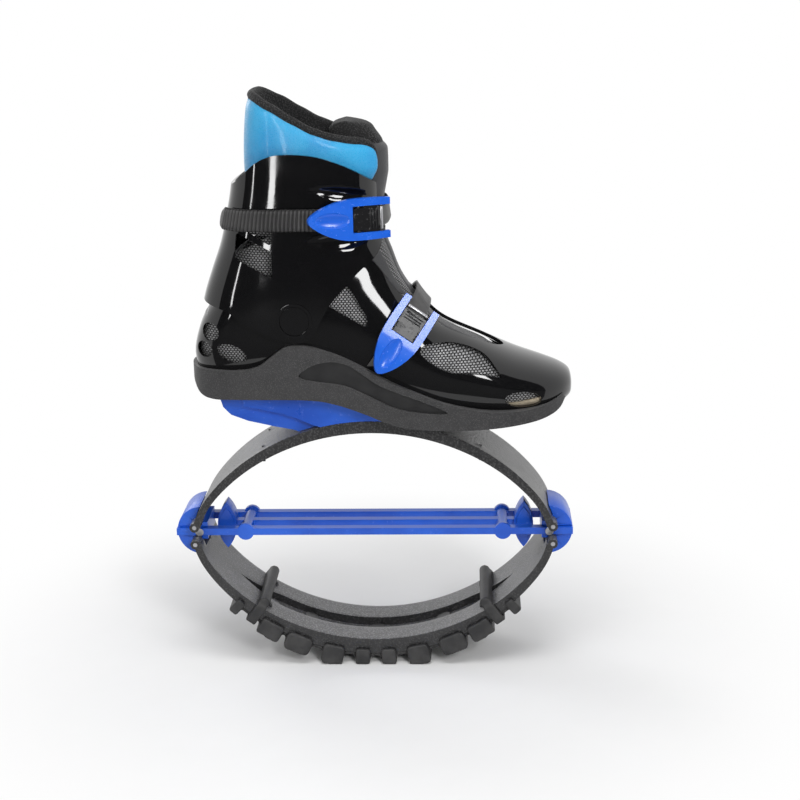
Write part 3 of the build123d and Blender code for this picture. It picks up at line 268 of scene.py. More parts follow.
def thousandths(*rows):
    """A table of shares, which is written in thousandths."""
    return [[number / 1000 for number in row] for row in rows]


def spline(before, start, stop, after, t):
    """A share t of the way from start to stop on a smooth curve through the four."""
    return 0.5 * (2 * start + (stop - before) * t
                  + (2 * before - 5 * start + 4 * stop - after) * t * t
                  + (3 * start - before - 3 * stop + after) * t * t * t)


def smoothed(points, steps=6, closed=False):
    """More points along a smooth curve through the given ones."""
    count = len(points)
    curve = []
    for index in range(count if closed else count - 1):
        near = [Vector(points[(index + k) % count if closed else min(max(index + k, 0), count - 1)])
                for k in (-1, 0, 1, 2)]
        curve += [spline(*near, step / steps) for step in range(steps)]
    if not closed:
        curve.append(Vector(points[-1]))
    return curve


def rounded(points, radius, steps=5):
    """A closed outline with each corner drawn as a curve that starts radius away from it."""
    curve = []
    for index, corner in enumerate(points):
        corner = Vector(corner)
        sides = [Vector(points[index - 1]) - corner, Vector(points[(index + 1) % len(points)]) - corner]
        start, stop = (corner + side.normalized() * min(radius, side.length * 0.48) for side in sides)
        for step in range(steps + 1):
            t = step / steps
            curve.append(start * (1 - t) ** 2 + corner * 2 * t * (1 - t) + stop * t * t)
    return curve


def prism(points, low=-reach, high=reach, axis="Y"):
    """A closed solid with the outline's points, drawn along one axis from low to high."""
    bm = bmesh.new()
    upright = axis == "Z"
    face = bm.faces.new([bm.verts.new((p[0], p[1], low) if upright else (p[0], low, p[-1])) for p in points])
    grown = bmesh.ops.extrude_face_region(bm, geom=[face])["geom"]
    shift = (0, 0, high - low) if upright else (0, high - low, 0)
    bmesh.ops.translate(bm, verts=[v for v in grown if isinstance(v, bmesh.types.BMVert)], vec=shift)
    bmesh.ops.recalc_face_normals(bm, faces=bm.faces)
    return bm


def made(name, bm, finish=None):
    """An object of the bmesh, in the scene."""
    mesh = bpy.data.meshes.new(name)
    bm.to_mesh(mesh)
    bm.free()
    piece = bpy.data.objects.new(name, mesh)
    scene.collection.objects.link(piece)
    if finish:
        mesh.materials.append(finish.material)
    return piece


def settled(piece):
    """Applies the piece's modifiers."""
    shape = piece.evaluated_get(bpy.context.evaluated_depsgraph_get())
    mesh = bpy.data.meshes.new_from_object(shape)
    piece.modifiers.clear()
    piece.data = mesh


def cut(piece, tool, operation="DIFFERENCE"):
    """Cuts the piece with a closed shape, which is then thrown away."""
    if isinstance(tool, bmesh.types.BMesh):
        tool = made("tool", tool)
    step = piece.modifiers.new("Cut", "BOOLEAN")
    step.operation = operation
    step.object = tool
    step.solver = "EXACT"
    settled(piece)
    bpy.data.objects.remove(tool)


def finished(piece, edge, steps=2):
    """Rounded edges and smooth shading on a cut piece."""
    edged(piece, merge=2e-5, width=edge, steps=steps, angle=32)
    for face in piece.data.polygons:
        face.use_smooth = True


# Rows of the boot's outer form: front or top point, back or bottom point, outer and inner half
# widths, and the middle's sideways place, as shares of the length and height.
boot_rows = thousandths(
    (998.5, 104, 998.5, 74, 30, 30, 30),
    (992, 128, 992, 58, 66, 60, 27),
    (966, 150, 966, 42, 104, 90, 20),
    (920, 173, 920, 28, 134, 114, 12),
    (846, 205, 846, 20, 156, 136, 6),
    (758, 252, 758, 17, 166, 151, 0),
    (664, 304, 664, 16, 166, 157, 0),
    (614, 360, 590, 22, 161, 155, 0),
    (582, 415, 500, 52, 154, 150, 0),
    (557, 470, 370, 105, 150, 148, 0),
    (540, 530, 200, 112, 149, 148, 0),
    (526, 577, 52, 116, 148, 148, 0),
    (516, 628, 10, 198, 149, 149, 0),
    (512, 680, 26, 300, 150, 149, 0),
    (512, 724, 70, 405, 150, 146, 0),
    (512, 771, 108, 510, 149, 146, 0),
    (512, 826, 131, 628, 148, 146, 0),
    (510, 874, 144, 751, 148, 147, 0),
    (497, 1010, 160, 1015, 149, 148, 0),
    (490, 1120, 165, 1130, 149, 148, 0),
)
toe_start = 0.75
boot_round = (2.2, 2.9)


def on_form(rows, place, turn, inset, roundness):
    """A point of a form: place counts rows, and turn goes once round from the front."""
    index = min(max(int(place), 0), len(rows) - 2)
    t = place - index
    near = [rows[min(max(index + k, 0), len(rows) - 1)] for k in (-1, 0, 1, 2)]
    front_x, front_z, back_x, back_z, outer, inner, middle = (spline(*four, t) for four in zip(*near))
    front, back = spot(front_x, front_z), spot(back_x, back_z)
    toe_share = max(0.0, (back_x - toe_start) / (1 - toe_start))
    centre = (front + back) / 2 - Vector((inset * toe_share, 0, 0))
    angle = 2 * math.pi * turn
    major, minor = math.cos(angle), math.sin(angle)
    power = 2 / (roundness[0] if major > 0 else roundness[1])
    along = math.copysign(abs(major) ** power, major) * ((front - back).length / 2 - inset)
    width = (inner if minor > 0 else outer) * boot_length - inset
    aside = math.copysign(abs(minor) ** power, minor) * width + middle * boot_length
    return centre + (front - back).normalized() * along + Vector((0, aside, 0))


def form(rows, first, last, inset, roundness, around=96, per_row=6, closed=True):
    """A form between two rows: a grid that is wrapped round it, with its ends closed."""
    bm = bmesh.new()
    along = round((last - first) * per_row)
    bm.loops.layers.uv.new("UVMap")
    bmesh.ops.create_grid(bm, x_segments=around, y_segments=along, size=0.5, calc_uvs=True)
    for vert in bm.verts:
        turn, share = vert.co.x + 0.5, vert.co.y + 0.5
        vert.co = on_form(rows, first + share * (last - first), turn, inset, roundness)
    bmesh.ops.remove_doubles(bm, verts=bm.verts, dist=1e-6)
    if closed:
        bmesh.ops.holes_fill(bm, edges=[e for e in bm.edges if e.is_boundary], sides=0)
    bmesh.ops.recalc_face_normals(bm, faces=bm.faces)
    return bm


sole_top = thousandths(
    (-20, 178), (67, 180), (141, 182), (188, 196), (225, 229), (262, 259), (309, 264), (366, 245),
    (416, 221), (463, 192), (534, 146), (597, 115), (664, 85), (728, 66), (795, 55), (872, 55),
    (940, 70), (1007, 112),
)
sole_bottom = thousandths(
    (1007, 91), (980, 67), (966, 45), (943, 30), (893, 16), (795, 4), (695, 0), (604, 2), (534, 15),
    (463, 49), (389, 79), (312, 94), (144, 93), (67, 89), (30, 97), (7, 123), (-7, 154),
)
sole_plan = thousandths(
    (-1, 0), (8, -54), (34, -101), (84, -134), (151, -150), (285, -160), (403, -163), (537, -169),
    (664, -175), (758, -174), (846, -161), (919, -131), (966, -87), (987, -34), (990, 20), (983, 66),
    (966, 98), (919, 128), (846, 147), (758, 161), (664, 167), (470, 159), (302, 154), (151, 143),
    (84, 126), (34, 94), (8, 50),
)
crescent = thousandths(
    (293, 172), (322, 198), (353, 210), (387, 213), (425, 200), (465, 168), (500, 140), (551, 115),
    (628, 82), (674, 55), (628, 51), (550, 64), (499, 90), (461, 112), (410, 138), (347, 149),
    (308, 157),
)
crescent_depth = 0.0026
widest_half = 0.048
crescent_line = smoothed(spots(crescent), steps=3, closed=True)
sole_side = smoothed(spots(sole_top)) + smoothed(spots(sole_bottom))
sole_walls = [
    (heel_end + point.x * boot_length, point.y * boot_length)
    for point in smoothed([(x, y, 0) for x, y in sole_plan], closed=True)
]
sole_grey = Finish("sole_grey_plastic", (0.03, 0.03, 0.032), 0.6)
pebble = sole_grey.ramp(sole_grey.cells(900.0), 0.5, 0.1)
patch = sole_grey.noise(140.0, 4.0)
speckle = pebble * 0.55 + patch * 0.45
# Painted light and shade: upward faces take the pale tone and the sides the dark one, as light from above
# would fall.
dark = sole_grey.mix(speckle, (0.014, 0.014, 0.015), (0.070, 0.068, 0.070))
pale = sole_grey.mix(speckle, (0.05, 0.05, 0.051), (0.16, 0.158, 0.158))
sole_grey.feed(
    Base_Color=sole_grey.mix(sole_grey.painted_light_from_above(0.1, 0.9), dark, pale),
    Roughness=patch * 0.3 + 0.42,
)
sole_grey.relief(pebble, 0.00014, 0.8)
tray = made("sole_tray", prism(sole_side), sole_grey)
cut(tray, prism(sole_walls, 0.0, tool_top, "Z"), "INTERSECT")
cut(tray, form(boot_rows, 0, 18, -seat_gap, boot_round, per_row=4))
recess = made("recess", prism(crescent_line))
drawn_in = 1 - crescent_depth / widest_half
cut(recess, prism([(x, y * drawn_in) for x, y in sole_walls], 0.0, tool_top, "Z"))
cut(tray, recess)


def inside(outline, x, z):
    """Whether a place in the side view lies inside an outline."""
    crossings = 0
    for a, b in zip(outline, outline[1:] + outline[:1]):
        if (a.z > z) != (b.z > z) and x < a.x + (b.x - a.x) * (z - a.z) / (b.z - a.z):
            crossings += 1
    return crossings % 2 == 1


recess_black = Finish("smooth_recess_plastic", (0.010, 0.010, 0.011), 0.35)
cloud = recess_black.noise(90.0, 4.0)
recess_black.feed(
    Base_Color=recess_black.mix(cloud, (0.006, 0.006, 0.007), (0.020, 0.020, 0.021)),
    Roughness=cloud * 0.15 + 0.28,
)
tray.data.materials.append(recess_black.material)
for face in tray.data.polygons:
    if abs(face.normal.y) > 0.5 and inside(crescent_line, face.center.x, face.center.z):
        face.material_index = 1
finished(tray, 0.0016)
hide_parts("sole_chassis")
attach(tray, "boot")

# Lower shell: gloss black moulded boot, open in front for the tongue, with netted windows, a
# toe vent and three heel vents. It stands in the sole tray, and the ankle pivots join the cuff.
wall = 0.0028
wing_edge = thousandths(
    (134, 466), (225, 472), (275, 510), (336, 553), (419, 545), (477, 514), (505, 480), (534, 433),
    (560, 401), (617, 372), (671, 391),
)
mid_window = thousandths((426, 439), (475, 338), (468, 314), (383, 374), (349, 399), (372, 462))
leaf_window = thousandths(
    (606, 234), (614, 258), (644, 262), (684, 259), (730, 243), (768, 221), (794, 189), (810, 157),
    (778, 165), (729, 174), (681, 178), (638, 202),
)
tongue_slot = thousandths(
    (470, -74), (604, -71), (738, -60), (795, -40), (819, 0), (795, 40), (738, 60), (604, 71),
    (470, 74),
)
slot_floor, slot_top = 0.245, 0.5
pivot = Vector((-0.054, 0.0, 0.2895))
swing_radius = 0.070
swing_floor, swing_top, swing_back = 0.288, 0.45, -0.2
heel_vents = ((-0.1204, 0.2782, 0.0070, 0.0070, 0.0), (-0.1261, 0.2640, 0.0064, 0.0064, 0.0),
              (-0.1042, 0.2623, 0.0120, 0.0068, -20.0))
toe_vent = (0.1184, 0.2245, 0.0142, 0.0065, -5.0)


def plan_line(shares, steps):
    """A smooth open line in the plan view, from shares of the boot's length."""
    corners = [(heel_end + x * boot_length, y * boot_length, 0) for x, y in shares]
    return [(point.x, point.y) for point in smoothed(corners, steps)]


def round_pivot(radius, angles):
    """Points round the ankle pivot in the side view."""
    return [(pivot.x + radius * math.cos(angle), pivot.z + radius * math.sin(angle)) for angle in angles]


def ellipse(x, z, long_radius, short_radius, tilt, steps=40):
    """Points round a tilted ellipse in the side view."""
    turn = Matrix.Rotation(math.radians(-tilt), 3, "Y")
    return [Vector((x, 0, z)) + turn @ Vector((long_radius * math.cos(a), 0, short_radius * math.sin(a)))
            for a in (2 * math.pi * step / steps for step in range(steps))]


gloss = Finish("gloss_black_shell", (0.004, 0.004, 0.005), 0.08, Coat_Weight=0.1, Coat_Roughness=0.03)
haze = gloss.ramp(gloss.noise(34.0, 5.0), 0.45, 0.78)
dust = gloss.ramp(gloss.cells(420.0), 0.07, 0.03) * gloss.ramp(gloss.noise(60.0), 0.52, 0.62)
gloss.feed(
    Base_Color=gloss.mix(dust * 0.5, (0.0035, 0.0035, 0.004), (0.10, 0.10, 0.10)),
    Roughness=haze * 0.07 + 0.05 + dust * 0.25,
)
gloss.relief(gloss.noise(110.0, 2.0), 0.00004, 0.5)

wing = smoothed(spots(wing_edge))
below = spots(((1.2, 0.391), (1.2, -0.2), (-0.067, -0.2), (-0.067, 0.466)))
shell = made("lower_shell_moulding", form(boot_rows, 0, 18, 0.0, boot_round), gloss)
cut(shell, prism(wing + below), "INTERSECT")
cut(shell, form(boot_rows, 0.7, 18.5, wall, boot_round))
openings = [rounded(spots(mid_window), 0.005), smoothed(spots(leaf_window), steps=3, closed=True)]
openings += [ellipse(*vent) for vent in heel_vents + (toe_vent,)]
for outline in openings:
    cut(shell, prism(outline))
cut(shell, prism(plan_line(tongue_slot, steps=4), slot_floor, slot_top, "Z"))
swing = [(swing_back, swing_floor)]
swing += round_pivot(swing_radius, [math.pi * (1 - step / 24) for step in range(13)])
swing += [(pivot.x, swing_top), (swing_back, swing_top)]
cut(shell, prism(swing))
finished(shell, 0.0012)
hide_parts("lower_shell")
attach(shell, "boot")

# Footbed: a moulded cream foam insole, a thin cup that lies loose in the bottom of the shell
bed_gap = 0.00215
bed_rise = 0.063
bed_ends = ((-0.1, 0.217), (-0.2, -0.2), (1.2, -0.2), (1.2, 0.154))
cream = Finish("cream_foam", (0.62, 0.52, 0.38), 0.8)
cream.feed(
    Base_Color=cream.mix(cream.noise(300.0, 4.0), (0.46, 0.38, 0.27), (0.70, 0.61, 0.46)),
    Roughness=cream.noise(500.0) * 0.2 + 0.7,
)
cream.relief(cream.noise(1500.0, 2.0), 0.0002, 0.6)
bed = made("footbed_cup", form(boot_rows, 1, 12, wall + seat_gap, boot_round, per_row=4), cream)
cut(bed, form(boot_rows, 1.2, 12.2, wall + bed_gap, boot_round, per_row=4))
rim = smoothed([spot(x, z + bed_rise) for x, z in sole_bottom], steps=3)
cut(bed, prism(rim + spots(bed_ends)), "INTERSECT")
finished(bed, 0.0004)
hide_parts("footbed")
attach(bed, "boot")

# Foot liner: a padded sock of spacer mesh, sewn open over the instep, that fills the shell and
# shows as silver and black net in its windows
liner_gap = 0.0022
liner_thickness = 0.0055
front_swing = 0.092
liner_floor = 0.300
tongue_plan = thousandths(
    (435, -82), (604, -82), (738, -70), (790, -50), (812, 0), (790, 50), (738, 70), (604, 82),
    (435, 82),
)


def netted(name, thread, hollow, pitch, row, leans=0.0):
    """Spacer mesh: short staggered bright threads over a dark backing, laid out in the side view."""
    net = Finish(name, thread, 0.7, Sheen_Weight=0.2)
    x, y, z = (net.axis(number, net.where) for number in range(3))
    rows = net.node("CombineXYZ", (), 0, X=(x + y * leans) * (1 / pitch), Y=(z - x * leans) * (1 / row))
    gaps = net.node("TexBrick", {"offset": 0.5}, 1, Vector=rows, Scale=1.0, Mortar_Size=0.27,
                    Mortar_Smooth=0.9, Bias=0.0, Brick_Width=1.0, Row_Height=1.0)
    fibre = net.noise(1500.0)
    patch = net.ramp(net.noise(45.0), 0.3, 0.7)
    threads = net.mix(patch * 0.6 + fibre * 0.4, tuple(c * 0.45 for c in thread), thread)
    net.feed(
        Base_Color=net.mix(net.ramp(gaps, 0.05, 0.55), threads, hollow),
        Roughness=fibre * 0.3 + 0.45,
    )
    net.relief((1 - gaps) + fibre * 0.3, 0.0004, 0.9)
    return net


silver_net = netted("silver_mesh", (0.50, 0.50, 0.51), (0.004, 0.004, 0.004), 0.0027, 0.0017)
sock = made("foot_liner_sock", form(boot_rows, 1, 15, wall + liner_gap, boot_round), silver_net)
cut(sock, form(boot_rows, 2, 15.5, wall + liner_gap + liner_thickness, boot_round))
fold = [(swing_back, 0.1), (swing_back, liner_floor)]
for radius, first, turned, steps in ((swing_radius, 172, 106, 16), (front_swing, 66, 59.5, 10)):
    fold += round_pivot(radius, [math.radians(first - step * turned / steps) for step in range(steps + 1)])
fold += [(0.25, liner_floor), (0.25, 0.1)]
cut(sock, prism(fold), "INTERSECT")
cut(sock, prism(plan_line(tongue_plan, steps=3), slot_floor - 0.0005, slot_top, "Z"))
finished(sock, 0.0012)
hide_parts("liner_foot")
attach(sock, "boot")

# Lower tongue: a quilted pad in the shell's slot, charcoal leatherette along the middle and
# the edges with mesh between, its channels sewn lengthwise
tongue_inset = 0.0036
tongue_depth = 0.0077
tongue_start, tongue_end = 4.45, 12.35
tongue_tip, tip_run = 0.815, 0.075
channel_width, channel_depth = 0.04, 0.0014
black_net = netted("black_mesh", (0.30, 0.30, 0.305), (0.003, 0.003, 0.003), 0.0027, 0.0017, 0.6)
charcoal = Finish("charcoal_leatherette", (0.035, 0.035, 0.038), 0.5)
grain = charcoal.cells(800.0, "DISTANCE_TO_EDGE")
fold_lines = charcoal.noise(45.0)
charcoal.feed(
    Base_Color=charcoal.mix(fold_lines, (0.020, 0.020, 0.022), (0.075, 0.075, 0.079)),
    Roughness=0.55 - charcoal.ramp(grain, 0.0, 0.25) * 0.15,
)
charcoal.relief(charcoal.ramp(grain, 0.0, 0.2) + fold_lines * 1.5, 0.00016, 0.7)
knit = Finish("black_knit_lining", (0.008, 0.008, 0.009), 0.85, Sheen_Weight=0.06)
loops = knit.ramp(knit.cells(850.0), 0.1, 0.6)
fold_lines = knit.noise(60.0)
knit.feed(
    Base_Color=knit.mix(loops * 0.7 + fold_lines * 0.3, (0.034, 0.034, 0.036), (0.003, 0.003, 0.003)),
    Roughness=loops * 0.2 + 0.7,
)
knit.relief((1 - loops) + fold_lines * 1.5, 0.0006, 0.9)


def tongue_half(share_x):
    """The lower tongue's half width at a share of the boot's length."""
    return 0.080 * boot_length * min(1.0, max(0.05, (tongue_tip - share_x) / tip_run)) ** 0.5


def across_form(place, y, inset):
    """A point on the front of the boot's form, y to the side of its middle."""
    width = 0.150 * boot_length - inset
    angle = math.asin(min(1.0, abs(y) / width) ** (boot_round[0] / 2))
    return on_form(boot_rows, place, math.copysign(angle, y) / (2 * math.pi), inset, boot_round)


def pad(name, around, along, point, cover, finishes):
    """A closed pad from a wrapped grid: u runs once round its section and v along it."""
    bm = bmesh.new()
    bm.loops.layers.uv.new("UVMap")
    bmesh.ops.create_grid(bm, x_segments=around, y_segments=along, size=0.5, calc_uvs=True)
    for face in bm.faces:
        middle = face.calc_center_median()
        face.material_index = cover(middle.x + 0.5, middle.y + 0.5)
    bm.verts.ensure_lookup_table()
    wide = around + 1
    rings = [[bm.verts[row * wide + step] for step in range(wide)] for row in range(along + 1)]
    for vert in bm.verts:
        vert.co = point(vert.co.x + 0.5, vert.co.y + 0.5)
    for ring, above in zip(rings, rings[1:]):
        bm.faces.new((ring[-1], above[-1], above[0], ring[0])).material_index = cover(1.0, 0.5)
    for ring in (rings[0], rings[-1]):
        for step in range(around // 2):
            strip = dict.fromkeys((ring[step], ring[step + 1], ring[around - step - 1], ring[around - step]))
            bm.faces.new(strip).material_index = cover(1.0, 0.5)
    for face in bm.faces:
        face.smooth = True
    bmesh.ops.recalc_face_normals(bm, faces=bm.faces)
    piece = made(name, bm)
    for finish in finishes:
        piece.data.materials.append(finish.material)
    return piece


def refined(piece):
    """One level of subdivision, in the render as in the view."""
    fine = piece.modifiers.new("Fine", "SUBSURF")
    fine.render_levels = fine.levels


seams = (0.36, 0.74)


def tongue_side(u):
    """Across the pad, from -1 to 1, on its outer skin for u below 0.5 and on its inner above."""
    return 1 - 4 * u if u <= 0.5 else 4 * u - 3


def tongue_skin(u, v):
    """The pad's skin, pressed in along the two seams on each side."""
    t = tongue_side(u)
    place = tongue_start + v * (tongue_end - tongue_start)
    top = on_form(boot_rows, place, 0.0, 0.0, boot_round)
    half = tongue_half((top.x - heel_end) / boot_length)
    ends = min(1.0, 12 * min(v, 1 - v) + 0.35)
    channel = sum(math.exp(-((abs(t) - seam) / channel_width) ** 2) for seam in seams)
    half_depth = tongue_depth / 2 * ends * max(0.14, (1 - abs(t) ** 6) ** 0.5)
    middle = tongue_inset + tongue_depth / 2
    inset = middle - half_depth + channel_depth * channel * ends if u <= 0.5 else middle + half_depth
    return across_form(place, t * half * 0.985, inset)


def tongue_cover(u, v):
    if u > 0.5:
        return 2
    return 1 if seams[0] < abs(tongue_side(u)) < seams[1] else 0


lower_tongue = pad("lower_tongue_quilted", 96, 90, tongue_skin, tongue_cover, (charcoal, black_net, knit))
refined(lower_tongue)
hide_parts("tongue_lower")
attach(lower_tongue, "boot")

# Cuff: gloss black moulded ankle shell, open in front, riveted to the lower shell at a round
# boss on each side. Two louvres with netted windows breathe at the back, and a long dish
# above and below the buckle frames it.
cuff_rows = thousandths(
    (705, 206, 23, 206, 164, 190, 0),
    (654, 324, 32, 324, 169, 168, 0),
    (611, 403, 46, 403, 169, 168, 0),
    (570, 482, 69, 482, 167, 163, 0),
    (527, 561, 94, 561, 165, 161, 0),
    (512, 640, 111, 640, 162, 159, 0),
    (510, 719, 125, 719, 160, 158, 0),
    (510, 798, 134, 798, 159, 156, 0),
    (510, 877, 141, 877, 158, 155, 0),
)
cuff_round = (2.8, 3.6)
cuff_edge = thousandths(
    (27, 397), (70, 383), (121, 365), (161, 330), (215, 298), (262, 281), (295, 274), (319, 279),
    (336, 296), (349, 326), (377, 385), (407, 427), (433, 461), (463, 495), (492, 522), (507, 549),
    (513, 589), (517, 644), (515, 700), (505, 731), (483, 753), (447, 782), (407, 805), (360, 824),
    (313, 832), (266, 833), (234, 826), (202, 807), (169, 774), (138, 743), (107, 731),
)
lower_louvre = thousandths((148, 607), (237, 552), (237, 471), (141, 530))
upper_louvre = thousandths((157, 636), (243, 636), (237, 568), (178, 607))
cuff_gap = ((-0.005, 0.330), (0.1, 0.330), (0.1, 0.46), (-0.005, 0.46))
cuff_gap_half = 0.024
boss_radius, boss_face, boss_root = 0.0135, 0.0512, 0.0475
rivet_radius, rivet_head_radius, rivet_seat = 0.0043, 0.0113, 0.0489
dishes = (((-0.0170, 0.3845), 0.0236, 0.0050, -7.0), ((-0.0195, 0.3485), 0.0232, 0.0064, 0.0))
dish_depth = 0.0016


def disc(radius, low, high, steps=48):
    """A round bar along the ankle pivot."""
    return prism(round_pivot(radius, [2 * math.pi * step / steps for step in range(steps)]), low, high)


def dish_press(x, z):
    """How deep the skin is pressed in at a place in the side view: two pointed ovals."""
    deepest = 0.0
    for (middle_x, middle_z), half_length, half_height, turn in dishes:
        turned = Matrix.Rotation(-math.radians(turn), 2) @ Vector((x - middle_x, z - middle_z))
        along, up = turned.x / half_length, turned.y / half_height
        if abs(along) < 1:
            lip = abs(up) / (1 - along * along) ** 0.8
            if lip < 1:
                deepest = max(deepest, dish_depth * (1 - lip ** 2) * min(1.0, 2 * (1 - abs(along))))
    return deepest


skin = form(cuff_rows, 0, 8, 0.0, cuff_round, around=256, per_row=15)
for vert in skin.verts:
    if vert.co.y < 0:
        vert.co.y += dish_press(vert.co.x, vert.co.z)
cuff = made("cuff_moulding", skin, gloss)
edge_line = smoothed(spots(cuff_edge), steps=4)
cut(cuff, prism(edge_line + spots(((0.0, 0.731), (-0.05, 0.397)))), "INTERSECT")
for side in (-1, 1):
    cut(cuff, disc(boss_radius, *sorted((side * boss_root, side * boss_face))), "UNION")
cut(cuff, form(cuff_rows, -0.2, 8.2, wall, cuff_round, around=128, per_row=10))
for louvre in (lower_louvre, upper_louvre):
    cut(cuff, prism(rounded(spots(louvre), 0.0030)))
cut(cuff, prism(cuff_gap, -cuff_gap_half, cuff_gap_half))
cut(cuff, disc(rivet_radius, -reach, reach))
for side in (-1, 1):
    cut(cuff, disc(rivet_head_radius, *sorted((side * rivet_seat, side * reach))))
finished(cuff, 0.0011)
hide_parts("cuff")
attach(cuff, "cuff")
dressed("cuff_rivets", gloss, edge=0.0006, steps=3)

# Collar: the liner's padded top, sky-blue leatherette outside and black knit inside, with a
# black roll sewn along its upper and front edges. It is open in front for the tongue.
collar_top = thousandths(
    (0, 1000), (121, 1000), (185, 1000), (238, 969), (295, 931), (342, 901), (393, 880), (440, 866),
    (483, 860), (508, 841), (530, 810), (534, 771),
)
collar_outer = wall + liner_gap
collar_low = 0.352
collar_gap = 0.0188
corner_radius = 0.014
roll_height = 0.0052
front_reach = 0.0085
collar_run = 0.21
skin_share, roll_share, roll_span = 0.42, 0.58, 0.16
net_share = 0.22
crown_start, crown_height, seam_depth, lining_crown = 0.45, 0.0016, 0.0012, 0.001
front_run, front_low, front_rise = 0.017, 0.384, 0.016

sky = Finish("sky_blue_leatherette", (0.015, 0.34, 0.68), 0.36, Coat_Weight=0.1)
grain = sky.cells(950.0, "DISTANCE_TO_EDGE")
folds = sky.noise(26.0)
specks = sky.ramp(sky.noise(900.0, 2.0), 0.52, 0.72)
mottle = sky.ramp(folds, 0.3, 0.7) * 0.7 + specks * 0.3
sky.feed(
    Base_Color=sky.mix(mottle, (0.006, 0.27, 0.60), (0.035, 0.42, 0.74)),
    Roughness=0.42 - sky.ramp(grain, 0.0, 0.25) * 0.15,
)
sky.relief(sky.ramp(grain, 0.0, 0.2) + folds * 1.5, 0.00014, 0.6)


def top_height(x):
    """The collar's top edge over a place along the boot."""
    points = spots(collar_top)
    for start, stop in zip(points, points[1:]):
        if start.x <= x <= stop.x:
            t = (x - start.x) / (stop.x - start.x)
            t = t * t * (3 - 2 * t) * 0.3 + t * 0.7
            return start.z + (stop.z - start.z) * t
    return points[0].z if x < points[0].x else points[-1].z


def form_at(turn, height, inset):
    """The form's point at a turn and a height."""
    low, high = 8.0, 19.0
    for step in range(22):
        middle = (low + high) / 2
        if on_form(boot_rows, middle, turn, inset, boot_round).z < height:
            low = middle
        else:
            high = middle
    return on_form(boot_rows, low, turn, inset, boot_round)


def from_end(v):
    """How far a place along the collar is from its nearer front edge."""
    return min(v, 1 - v) * collar_run


gap_share = collar_gap / (0.148 * boot_length - collar_outer)
gap_turn = math.asin(gap_share ** (boot_round[0] / 2)) / (2 * math.pi)
collar_columns = 110
column_tops = []
for column in range(collar_columns + 1):
    v = column / collar_columns
    turn = gap_turn + v * (1 - 2 * gap_turn)
    height = 0.44
    for step in range(5):
        height = top_height(form_at(turn, height, collar_outer).x)
    if from_end(v) < corner_radius:
        height -= corner_radius * (1 - (1 - (1 - from_end(v) / corner_radius) ** 2) ** 0.5)
    column_tops.append(height)


def collar_skin(u, v):
    """Up the outer skin for u to skin_share, over the roll to roll_share, down the lining."""
    turn = gap_turn + v * (1 - 2 * gap_turn)
    top = column_tops[round(v * collar_columns)] - roll_height * 0.6
    ends = min(1.0, (from_end(v) / 0.004 + 0.05)) ** 0.5
    half = liner_thickness / 2
    middle = collar_outer + half
    if u <= skin_share:
        climb = u / skin_share
        height = collar_low + (top - collar_low) * climb
        above = min(1.0, max(0.0, (climb - crown_start) / 0.55))
        crown = crown_height * math.sin(math.pi * above) ** 0.7
        seam = seam_depth * math.exp(-((climb - 1.0) / 0.035) ** 2)
        inset = middle - (half + crown - seam) * ends
    elif u <= roll_share:
        angle = math.pi * (u - skin_share) / roll_span
        height = top + roll_height * math.sin(angle)
        inset = middle - (half + 0.0007 * math.sin(angle)) * math.cos(angle) * ends
    else:
        climb = 1 - (u - roll_share) / skin_share
        height = collar_low + (top - collar_low) * climb
        inset = middle + (half + lining_crown * math.sin(math.pi * climb)) * ends
    forward = front_reach * math.exp(-(from_end(v) / front_run) ** 2)
    forward *= min(1.0, max(0.0, (height - front_low) / front_rise))
    return form_at(turn, height, inset) + Vector((forward, 0, 0))


def collar_cover(u, v):
    """Net low on the outer skin, knit on the roll and along the front edges, else leatherette."""
    if u < skin_share * net_share:
        return 2
    return 1 if u > skin_share - 0.005 or from_end(v) < 0.0028 else 0


collar = pad("collar_padded", 74, collar_columns, collar_skin, collar_cover, (sky, knit, silver_net))
refined(collar)
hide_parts("liner_collar")
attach(collar, "cuff")

# Upper tongue: a thick pad behind the cuff strap, charcoal leatherette with a knit roll along
# its top, standing between the collar's front edges
tongue_width = 0.035
tongue_front = thousandths(
    (514, 575), (514, 684), (520, 720), (526.2, 759), (526.2, 802), (525.2, 830), (505, 866),
    (493, 885), (488, 916),
)
tongue_back = thousandths((435, 575), (400, 800), (376, 917))
tongue_seams = (0.30, 0.80)
tongue_foot, tongue_head = 0.575, 0.915
side_bend = 0.0045
swelling, pressure = 0.0012, 4.0


def tongue_profile(u, v):
    """Across the pad at a height: the front from one side to the other, then the back."""
    t = tongue_side(u)
    low, high = spot(0, tongue_foot).z, spot(0, tongue_head).z
    height = low + (high - low) * v
    front, back = (np.interp(height, [p.z for p in line], [p.x for p in line])
                   for line in (spots(tongue_front), spots(tongue_back)))
    middle, half = (front + back) / 2, (front - back) / 2
    round_top = (1 - max(0.0, (v - 0.90) / 0.10) ** 2.5) ** 0.5 if v < 1 else 0.06
    round_side = max(0.10, (1 - abs(t) ** 5) ** 0.5)
    seam = 0.0010 * sum(math.exp(-((v - place) / 0.012) ** 2) for place in tongue_seams)
    depth = (half - seam) * max(0.12, round_top) * round_side
    x = middle + (depth if u <= 0.5 else -depth) - side_bend * t * t
    return Vector((x, t * tongue_width / 2, height))


def tongue_top_cover(u, v):
    return 1 if v > tongue_seams[1] or u > 0.5 or v < tongue_seams[0] else 0


